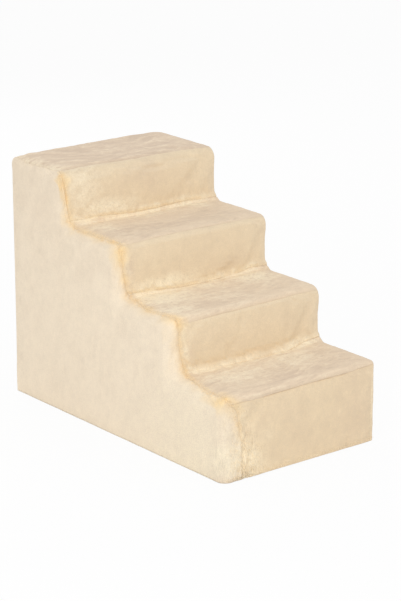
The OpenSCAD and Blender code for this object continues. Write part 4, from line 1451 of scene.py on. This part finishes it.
class PETSTAIRS_OT_step_panels(bpy.types.Operator):
    """Makes the four treads and four risers of the cover."""
    bl_idname = "petstairs.step_panels"
    bl_label = "Treads and risers"

    def execute(self, context):
        colours = context.scene.pet_stairs.plush
        # tread_pile and riser_pile are one plush in two tones, with painted shade making the treads darker as
        # the light falls
        tread = plush(context, "tread_pile", colours.tread, 1.0)
        riser = plush(context, "riser_pile", colours.riser, 0.12)
        for k in range(1, STEPS + 1):
            piece = make_strip(context, f"riser_{k}_plush", 2 * k - 2)
            dress(piece, riser, BODY, [f"riser_cover_{k}"])
            piece = make_strip(context, f"tread_{k}_plush", 2 * k - 1)
            dress(piece, tread, BODY, [f"tread_cover_{k}"])
        return {"FINISHED"}


class PETSTAIRS_OT_side_panels(bpy.types.Operator):
    """Makes the two stepped side panels."""
    bl_idname = "petstairs.side_panels"
    bl_label = "Side panels"

    def execute(self, context):
        # side_pile is the same plush in a tone with painted light making it paler where the light falls on
        # the sides and back
        finish = plush(context, "side_pile", context.scene.pet_stairs.plush.side, 0.06)
        for name, side in (("left", -1), ("right", 1)):
            piece = make_side(context, f"side_{name}_plush", side)
            dress(piece, finish, BODY, [f"side_cover_{name}"])
        return {"FINISHED"}


class PETSTAIRS_OT_back_panels(bpy.types.Operator):
    """Makes the zipped flap of the back and the border round it."""
    bl_idname = "petstairs.back_panels"
    bl_label = "Back panels"

    def execute(self, context):
        finish = bpy.data.materials["side_pile"]
        cover, border = back_panels(context)
        dress(cover, finish, BODY, ["back_cover"])
        dress(border, finish, BODY, ["back_border"])
        return {"FINISHED"}


class PETSTAIRS_OT_foam_core(bpy.types.Operator):
    """Makes the four glued foam slabs inside the cover."""
    bl_idname = "petstairs.foam_core"
    bl_label = "Foam core"

    def execute(self, context):
        finish = foam_finish(context)
        for k in range(1, STEPS + 1):
            low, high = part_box(f"foam_slab_{k}")
            piece = foam_block(f"foam_block_{k}", low, high, FOAM_R)
            dress(piece, finish, BODY, [f"foam_slab_{k}"])
        return {"FINISHED"}


def rounded(x, z, width, height, r, count=6):
    """Outline of a rectangle with rounded corners about a middle."""
    out = []
    for sx, sz, start in ((1, 1, 0), (-1, 1, 90), (-1, -1, 180), (1, -1, 270)):
        mid_x, mid_z = x + sx * (width / 2 - r), z + sz * (height / 2 - r)
        for t in np.radians(np.linspace(start, start + 90, count)):
            out.append((mid_x + r * math.cos(t), mid_z + r * math.sin(t)))
    return out


def footprint(low, high, r, count):
    """Rounded outline of a box's x and y."""
    middle, size = (low + high) / 2, high - low
    return rounded(middle.x, middle.y, size.x, size.y, r, count)


def foam_block(name, low, high, r):
    """A slab with rounded front, back and side edges; its glued faces stay flat."""
    plan = np.array(footprint(low, high, r, 7))
    middle = plan.mean(0)
    away = plan - middle
    rows, heights = [plan], [low.z]
    for t in np.radians(np.linspace(0, 90, 6)):
        pull = r * (1 - math.cos(t))
        rows.append(middle + away * (1 - pull / np.abs(away).max(0)))
        heights.append(high.z - r + r * math.sin(t))
    count = len(plan)
    points = np.column_stack([np.concatenate(rows), np.repeat(heights, count)])
    points = np.concatenate([points, [[*middle, high.z], [*middle, low.z]]])
    top, bottom, last = len(points) - 2, len(points) - 1, len(points) - 2 - count
    after = [(i, (i + 1) % count) for i in range(count)]
    caps = [(top, last + i, last + j) for i, j in after] + [(bottom, j, i) for i, j in after]
    return mesh_object(name, points, ring_quads(len(rows), count), caps)


def base_fabric(low, high, bottom):
    """The base fabric, slightly wavy underneath."""
    flat, triangles = filled_outline(dense(footprint(low, high, BASE_R, 8), 0.01), 0.012)
    wave = 0.12 * MM * layered(flat[:, 0] / 0.05, flat[:, 1] / 0.05, 150)
    upper = np.column_stack([flat, np.full(len(flat), high.z)])
    lower = np.column_stack([flat, bottom + wave])
    points, quads, triangles = closed_shell(lower, upper, (), triangles)
    return mesh_object("base_fabric", points, quads, triangles, None, np.tile(flat, (2, 1)))


def grip_dots(low, high, finish):
    """Rubber dots in a square pattern under the base, half sunk into its fabric."""
    across, deep = (math.floor((v - DOT_PITCH) / 2 / DOT_PITCH) for v in (high.x - low.x, high.y - low.y))
    x, y = np.meshgrid(np.arange(-across, across + 1), np.arange(-deep, deep + 1))
    half = DOT_H + 0.4 * MM
    places = np.column_stack([x.ravel() * DOT_PITCH, y.ravel() * DOT_PITCH, np.full(x.size, half)])
    return scattered("grip_dots", dot_shape, {"Length": half, "Radius": DOT_R}, places, (0, 0, 1), (1, 0, 0),
                     1, finish)


class PETSTAIRS_OT_base(bpy.types.Operator):
    """Makes the base fabric and its grip dots."""
    bl_idname = "petstairs.base"
    bl_label = "Grip base"

    def execute(self, context):
        colours = context.scene.pet_stairs.plush
        low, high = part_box("grip_base")
        fabric = base_fabric(low, high, DOT_H + 0.15 * MM)
        dress(fabric, woven("base_weave", colours.base, 160.0), BODY, ["grip_base"])
        dots = grip_dots(low, high, moulded("grip_rubber", colours.dots, 0.7))
        dress(dots, None, BODY)
        return {"FINISHED"}


# Zip


def along_zip(path, s, u, further):
    """Points of x and z beside the zip, and unit vectors towards the places further along and out."""
    here = path.at(s, u)
    ahead = unit(path.at(s + further[0], u + further[1]) - here)
    return here, on_back(ahead, 0)


def zip_tape(path, name, side):
    """One woven tape, thinner at its inner edge."""
    low, high = path.tape_y
    u = np.linspace(path.row, path.tape, 8)
    rolled = np.interp(u, [path.row, path.row + 1.2 * MM], [0.25 * MM, 0])
    return swept(path, f"zip_tape_{name}_cloth", np.concatenate([u, u[::-1]]) * side,
                 np.concatenate([high - rolled, (low + rolled)[::-1]]))


def zip_stitches(path, sizes, name, side, finish):
    """The row of stitches that holds a tape on the plush."""
    s = np.arange(sizes.stitch_pitch, path.total - sizes.stitch_pitch, sizes.stitch_pitch)
    here, ahead = along_zip(path, s, side * STITCH_OUT, (0.1 * MM, 0))
    return scattered(f"zip_stitches_{name}", stitch_shape, {"Length": sizes.stitch, "Radius": THREAD_R},
                     on_back(here, path.tape_y[1] + 0.05 * MM), (0, 1, 0), ahead, 1, finish)


def zip_row(path, sizes, name, side, finish):
    """One row of teeth, set half a pitch further on in the flap's row than in the border's."""
    low, high = path.teeth_y
    count = math.floor((path.total - 2 * BARE_END) / sizes.pitch)
    width = sizes.pitch / 2 - 0.25 * MM
    first = BARE_END + (0 if side > 0 else sizes.pitch / 2)
    s = first + np.arange(count) * sizes.pitch + width / 2
    inner, outer = -sizes.reach, path.row
    here, out = along_zip(path, s, side * (inner + outer) / 2, (0, side * (outer - inner) / 2))
    given = {"Reach": (outer - inner) * 1.02, "Width": width * 1.05, "Thickness": (high - low) * 1.04}
    return scattered(f"zip_row_{name}", tooth_shape, given, on_back(here, (low + high) / 2), (0, 1, 0), out,
                     1, finish)


def zip_cord(path, sizes, name, side):
    """The cord that a row of teeth sits on."""
    angle = np.radians(np.arange(0, 360, 30))
    u = path.row - sizes.spine_w / 2 + 0.55 * sizes.spine_w * np.cos(angle)
    return swept(path, f"zip_cord_{name}", side * u, sum(path.teeth_y) / 2 + 0.85 * MM * np.sin(angle))


class PETSTAIRS_OT_zip(bpy.types.Operator):
    """Makes the zip's tapes, their stitching, the two rows of teeth and the stops' finish."""
    bl_idname = "petstairs.zip"
    bl_label = "Zip"

    def execute(self, context):
        settings = context.scene.pet_stairs
        sizes, colours = settings.zipper, settings.plush
        path = ZipPath(sizes)
        weave = woven("tape_weave", colours.tape, 300.0)
        plastic = moulded("tooth_plastic", colours.teeth, 0.45)
        sewing = woven("sewing_thread", colours.tape, 900.0)
        metal = moulded("satin_metal", colours.metal, 0.35, 1.0)
        for side, name in ((1, "border"), (-1, "flap")):
            dress(zip_tape(path, name, side), weave, BODY, [f"zip_tape_{name}"])
            dress(zip_stitches(path, sizes, name, side, sewing), None, BODY)
            dress(zip_row(path, sizes, name, side, plastic), None, BODY, [f"zip_teeth_{name}"])
            dress(zip_cord(path, sizes, name, side), plastic, BODY)
        stops = frame["nodes"]["zip_stops"]
        stops.data.materials.clear()
        stops.data.materials.append(metal)
        return {"FINISHED"}


# Slider and pull


def plate(name, outlines, thickness, bevel, y_middle):
    """A flat plate with rounded rims from closed outlines of x and z, holes after the first."""
    drawn = bpy.data.curves.new(name, "CURVE")
    drawn.dimensions = "2D"
    drawn.fill_mode = "BOTH"
    drawn.extrude = thickness / 2 - bevel
    drawn.bevel_depth = bevel
    drawn.bevel_resolution = 3
    drawn.offset = -bevel
    for outline in outlines:
        spline = drawn.splines.new("POLY")
        spline.points.add(len(outline) - 1)
        spline.points.foreach_set("co", np.column_stack([np.array(outline), np.zeros(len(outline)),
                                                         np.ones(len(outline))]).ravel())
        spline.use_cyclic_u = True
    holder = bpy.data.objects.new(name, drawn)
    bpy.context.scene.collection.objects.link(holder)
    graph = bpy.context.evaluated_depsgraph_get()
    mesh = bpy.data.meshes.new_from_object(holder.evaluated_get(graph), depsgraph=graph)
    bpy.data.objects.remove(holder)
    mesh.transform(Matrix.Translation((0, y_middle, 0)) @ Matrix.Rotation(math.radians(90), 4, "X"))
    return mesh


def tube(name, points, r, sides=12):
    """A closed round bar through points."""
    points = np.array(points, float)
    ahead = unit(np.gradient(points, axis=0))
    first = (1.0, 0, 0) if abs(ahead[0][0]) < 0.7 else (0, 0, 1.0)
    up = unit(np.cross(ahead, first))
    across = np.cross(up, ahead)
    angle = np.radians(np.arange(0, 360, 360 / sides))[None, :, None]
    spokes = np.cos(angle) * across[:, None] + np.sin(angle) * up[:, None]
    ring = (points[:, None] + r * spokes).reshape(-1, 3)
    quads, caps = ring_quads(len(points), sides)[:, [0, 3, 2, 1]], ring_caps(len(points), sides)
    if not faces_outward(ring - ring.mean(0), quads, caps):
        quads = quads[:, ::-1]
    return mesh_object(name, ring, quads, caps)


def joined(name, meshes):
    """One object from several meshes, with doubles merged and faces turned outward."""
    work = bmesh.new()
    for mesh in meshes:
        work.from_mesh(mesh)
    bmesh.ops.remove_doubles(work, verts=work.verts, dist=1e-7)
    bmesh.ops.recalc_face_normals(work, faces=work.faces)
    out = bpy.data.meshes.new(name)
    work.to_mesh(out)
    work.free()
    made = bpy.data.objects.new(name, out)
    bpy.context.scene.collection.objects.link(made)
    return made


def slider_heights():
    """y of the inner plate's outer face, and of both faces of the outer plate."""
    low = TEETH[0][1].y + SLIDER_GAP
    return TEETH[0][0].y - SLIDER_GAP, low, low + PLATE_T


def slider_bridge(x, z):
    """The arched bridge on the outer plate, which the pull hangs on."""
    half, sunk = 3.5 * MM, 0.4 * MM
    foot = slider_heights()[2] - sunk
    rise = SLIDER[1].y - 0.5 * MM - foot
    arch = [(x, foot, z - half)]
    for t in np.linspace(0, math.pi, 15)[1:-1]:
        arch.append((x, foot + rise * min(1, 1.25 * math.sin(t)), z - half * math.cos(t)))
    arch.append((x, foot, z + half))
    return tube("slider_bridge", arch, 0.62 * MM)


def slider_body(x, z):
    """Two plates, with the teeth between them, and the flanges down both sides of the outer one."""
    low, high = SLIDER
    w, l = high.x - low.x, high.z - low.z
    inner_high, plate_low, plate_high = slider_heights()
    shield = rounded(x, z, w, l, 2.4 * MM)
    meshes = [plate("outer_plate", [shield], plate_high - plate_low, 0.45 * MM, (plate_low + plate_high) / 2),
              plate("inner_plate", [shield], inner_high - low.y, 0.2 * MM, (low.y + inner_high) / 2)]
    wing_low, wing_high = TAPES[0][1].y + SLIDER_GAP, plate_low + 0.7 * MM
    for side in (-1, 1):
        wing = rounded(x + side * (w / 2 - 0.45 * MM), z, 0.9 * MM, l - 4 * MM, 0.3 * MM, 4)
        meshes.append(plate("flange", [wing], wing_high - wing_low, 0.15 * MM, (wing_high + wing_low) / 2))
    return joined("slider_body", meshes)


def pull_axle_at():
    """x, y and z of the axis that the pull swings on."""
    low, high = PULL
    swing = next(joint for joint in frame["joints"] if joint["name"] == "pull_swing")
    return (low.x + high.x) / 2, (low.y + high.y) / 2, swing["pos_m"][2]


def pull_tab():
    """The flat tab: a window over the bridge, a slot below it, and a rounded lower end."""
    x, y, z = pull_axle_at()
    half, low, r = (PULL[1].x - PULL[0].x) / 2, PULL[0].z, 3 * MM
    side, top = half - 0.2 * MM, z + 0.9 * MM
    outline = [(x - side, top), (x - side, low + r)]
    for t in np.radians(np.linspace(181, 359, 15)):
        across = (half - r) * math.copysign(1, math.cos(t)) + r * math.cos(t)
        outline.append((x + across, low + r + r * math.sin(t)))
    outline += [(x + side, low + r), (x + side, top)]
    window = rounded(x, z - 3.2 * MM, 2 * half - 3.6 * MM, 5.0 * MM, 0.8 * MM)
    slot = rounded(x, z - (z - low) * 0.62, 2.6 * MM, 9 * MM, 1.2 * MM)
    return joined("pull_tab", [plate("tab", [outline, window[::-1], slot[::-1]], 1.2 * MM, 0.3 * MM, y)])


def pull_axle():
    """The round bar at the top of the tab, through the bridge."""
    x, y, z = pull_axle_at()
    half = (PULL[1].x - PULL[0].x) / 2
    return tube("pull_axle", [(x + v * half, y, z) for v in np.linspace(-1, 1, 5)], 0.75 * MM)


class PETSTAIRS_OT_slider(bpy.types.Operator):
    """Makes the zip's slider and its pull tab."""
    bl_idname = "petstairs.slider"
    bl_label = "Slider and pull"

    def execute(self, context):
        metal = bpy.data.materials["satin_metal"]
        low, high = SLIDER
        x, z = (low.x + high.x) / 2, (low.z + high.z) / 2
        bridge = slider_bridge(x, z)
        dress(slider_body(x, z), metal, "slider", ["zip_slider"])
        dress(bridge, metal, "slider")
        dress(pull_tab(), metal, "pull", ["zip_pull"])
        dress(pull_axle(), metal, "pull")
        return {"FINISHED"}


# Pile

# Places tried for tufts along the left seam, along each inner seam, at the shaggy corner and at the hem
SEAM_TUFTS, INNER_TUFTS, CORNER_TUFTS, HEM_TUFTS = 3600, 300, 620, 320
# How deep the tufts root, and how far above the ground the tips of hanging ones and of others stay
ROOT_DEPTH = 0.35 * MM
HANGING_CLEAR, TUFT_CLEAR = 3.2 * MM, 1.2 * MM


def surface_depth(shape, across, along):
    """How far the plush lies below its full loft at places on the cover, relief and loft included."""
    depth = np.zeros_like(along)
    left, right = shape.edge_at(-1, along), shape.edge_at(1, along)
    on_side = (across < left) | (across > right)
    seams = [shape.seam_at(corner, across) for corner in range(2 * STEPS + 1)]
    for corner in range(2 * STEPS):
        here = ~on_side & (along >= seams[corner]) & (along < seams[corner + 1])
        away = {"start": (along - seams[corner])[here], "stop": (seams[corner + 1] - along)[here],
                "left": (across - left)[here], "right": (right - across)[here]}
        relief = StripRelief(shape, corner, across[here], along[here], away)
        depth[here] = relief.depth + relief.ripple
    away = np.where(across < 0, left - across, across - right)[on_side]
    base = shape.point(across[on_side], along[on_side], 0)
    drawn, groove = shape.side_dip(across[on_side] < 0, along[on_side], away)
    depth[on_side] = drawn + groove + side_relief(base[:, 1], base[:, 2])[0]
    return np.clip(lofted(shape, across, along, depth), -MOST_UP, shape.size.thickness)


def pile_points(shape, across, along):
    """Places on the cover with their outward, along and across directions."""
    step, depth = 0.5 * MM, surface_depth(shape, across, along) + ROOT_DEPTH
    here = shape.point(across, along, depth)
    out = unit(here - shape.point(across, along, depth + step))
    ahead = unit(shape.point(across, along + step, 0) - shape.point(across, along - step, 0))
    return here, out, ahead, np.cross(ahead, out)


def seam_tufts(shape, rng):
    """Tufts beside the left seam, where the yellow band is strong, and leaning away from it."""
    along = rng.uniform(0, shape.along[2 * STEPS], SEAM_TUFTS)
    along = along[rng.random(len(along)) < ochre_run(shape, along)]
    off = rng.normal(0, 0.0032, len(along))
    across = shape.edge_at(-1, along) + off
    yield "seam_pile_left", "seam", across, along, 0.55 + 0.25 * ochre_run(shape, along), np.sign(off) * 0.5
    for number, corner in enumerate(INNER, 1):
        across = rng.uniform(-HALF_W + 0.02, HALF_W - 0.004, INNER_TUFTS)
        off = rng.normal(0.0, 0.0028, len(across))
        along = shape.seam_at(corner, across) + off
        yield f"seam_pile_{number}", "edge", across, along, 0.5 + 0 * off, 0 * off


def front_tufts(shape, rng):
    """Tufts of the shaggy lower corner and the fringe of the front hem."""
    along = 0.003 + rng.exponential(0.04, CORNER_TUFTS)
    along = along[along < 0.15]
    across = shape.edge_at(-1, along) + rng.normal(0.008, 0.018, len(along))
    yield "corner_pile", "edge", across, along, 0.9 + 0 * along, 0 * along
    across = rng.uniform(-HALF_W, HALF_W, HEM_TUFTS)
    along = np.abs(rng.normal(0, 0.004, len(across))) + 0.0035
    yield "hem_pile", "edge", across, along, 0.6 + 0 * along, 0 * along


def grow_tufts(shape, rng, sizes, group, finish):
    """Tufts at the places of a group, except where a tip would come too near the ground."""
    name, _, across, along, scale, sideways = group
    here, out, ahead, over = pile_points(shape, across, along)
    hangs = name in ("corner_pile", "hem_pile")
    each = (len(here), 1)
    stand = rng.uniform(0.5, 0.9, each) if hangs else rng.uniform(0.2, 0.45, each)
    lean = out * stand + ahead * ((-0.45 if hangs else 0) + rng.normal(0, 0.25, each))
    lean = unit(lean + over * (sideways[:, None] + rng.normal(0, 0.35, each)))
    keep = here[:, 2] + lean[:, 2] * sizes.tuft_l * scale > (HANGING_CLEAR if hangs else TUFT_CLEAR)
    twist = -ahead if hangs else ahead
    scale = scale * rng.uniform(0.7, 1.25, len(here))
    return scattered(name, tuft_shape, {"Length": sizes.tuft_l, "Radius": sizes.tuft_r}, here[keep],
                     lean[keep], twist[keep], scale[keep], finish)


class PETSTAIRS_OT_pile(bpy.types.Operator):
    """Grows the tufts of pile along the seams, and the shaggy lower corner at the front."""
    bl_idname = "petstairs.pile"
    bl_label = "Pile tufts"

    def execute(self, context):
        settings = context.scene.pet_stairs
        shape = cover_shape(context)
        rng = np.random.default_rng(settings.pile.seed)
        finish = {"seam": tuft_finish(context, "seam_tufts", settings.plush.ochre),
                  "edge": tuft_finish(context, "edge_tufts", settings.plush.tuft)}
        for group in [*seam_tufts(shape, rng), *front_tufts(shape, rng)]:
            kind = group[1]
            made = grow_tufts(shape, rng, settings.pile, group, finish[kind])
            dress(made, None, BODY)
        return {"FINISHED"}


class PETSTAIRS_PT_panel(bpy.types.Panel):
    bl_label = "Pet stairs"
    bl_idname = "PETSTAIRS_PT_panel"
    bl_space_type = "VIEW_3D"
    bl_region_type = "UI"
    bl_category = "Pet stairs"

    def draw(self, context):
        for operator in OPERATORS:
            self.layout.operator(operator.bl_idname)
        for group in ("cover", "plush", "zipper", "pile"):
            column = self.layout.column()
            settings = getattr(context.scene.pet_stairs, group)
            for key in settings.__annotations__:
                column.prop(settings, key)


OPERATORS = (PETSTAIRS_OT_stage, PETSTAIRS_OT_foam_core, PETSTAIRS_OT_step_panels,
             PETSTAIRS_OT_side_panels, PETSTAIRS_OT_back_panels, PETSTAIRS_OT_base, PETSTAIRS_OT_zip,
             PETSTAIRS_OT_slider, PETSTAIRS_OT_pile)
CLASSES = (CoverSizes, PlushColours, ZipSizes, PileSizes, StairSettings, *OPERATORS, PETSTAIRS_PT_panel)


def register():
    for made in CLASSES:
        bpy.utils.register_class(made)
    bpy.types.Scene.pet_stairs = PointerProperty(type=StairSettings)


def unregister():
    del bpy.types.Scene.pet_stairs
    for made in reversed(CLASSES):
        bpy.utils.unregister_class(made)


def main():
    register()
    bpy.ops.petstairs.stage()
    bpy.ops.petstairs.foam_core()
    bpy.ops.petstairs.step_panels()
    bpy.ops.petstairs.side_panels()
    bpy.ops.petstairs.back_panels()
    bpy.ops.petstairs.base()
    bpy.ops.petstairs.zip()
    bpy.ops.petstairs.slider()
    bpy.ops.petstairs.pile()
    bpy.context.view_layer.update()


if __name__ == "__main__":
    main()
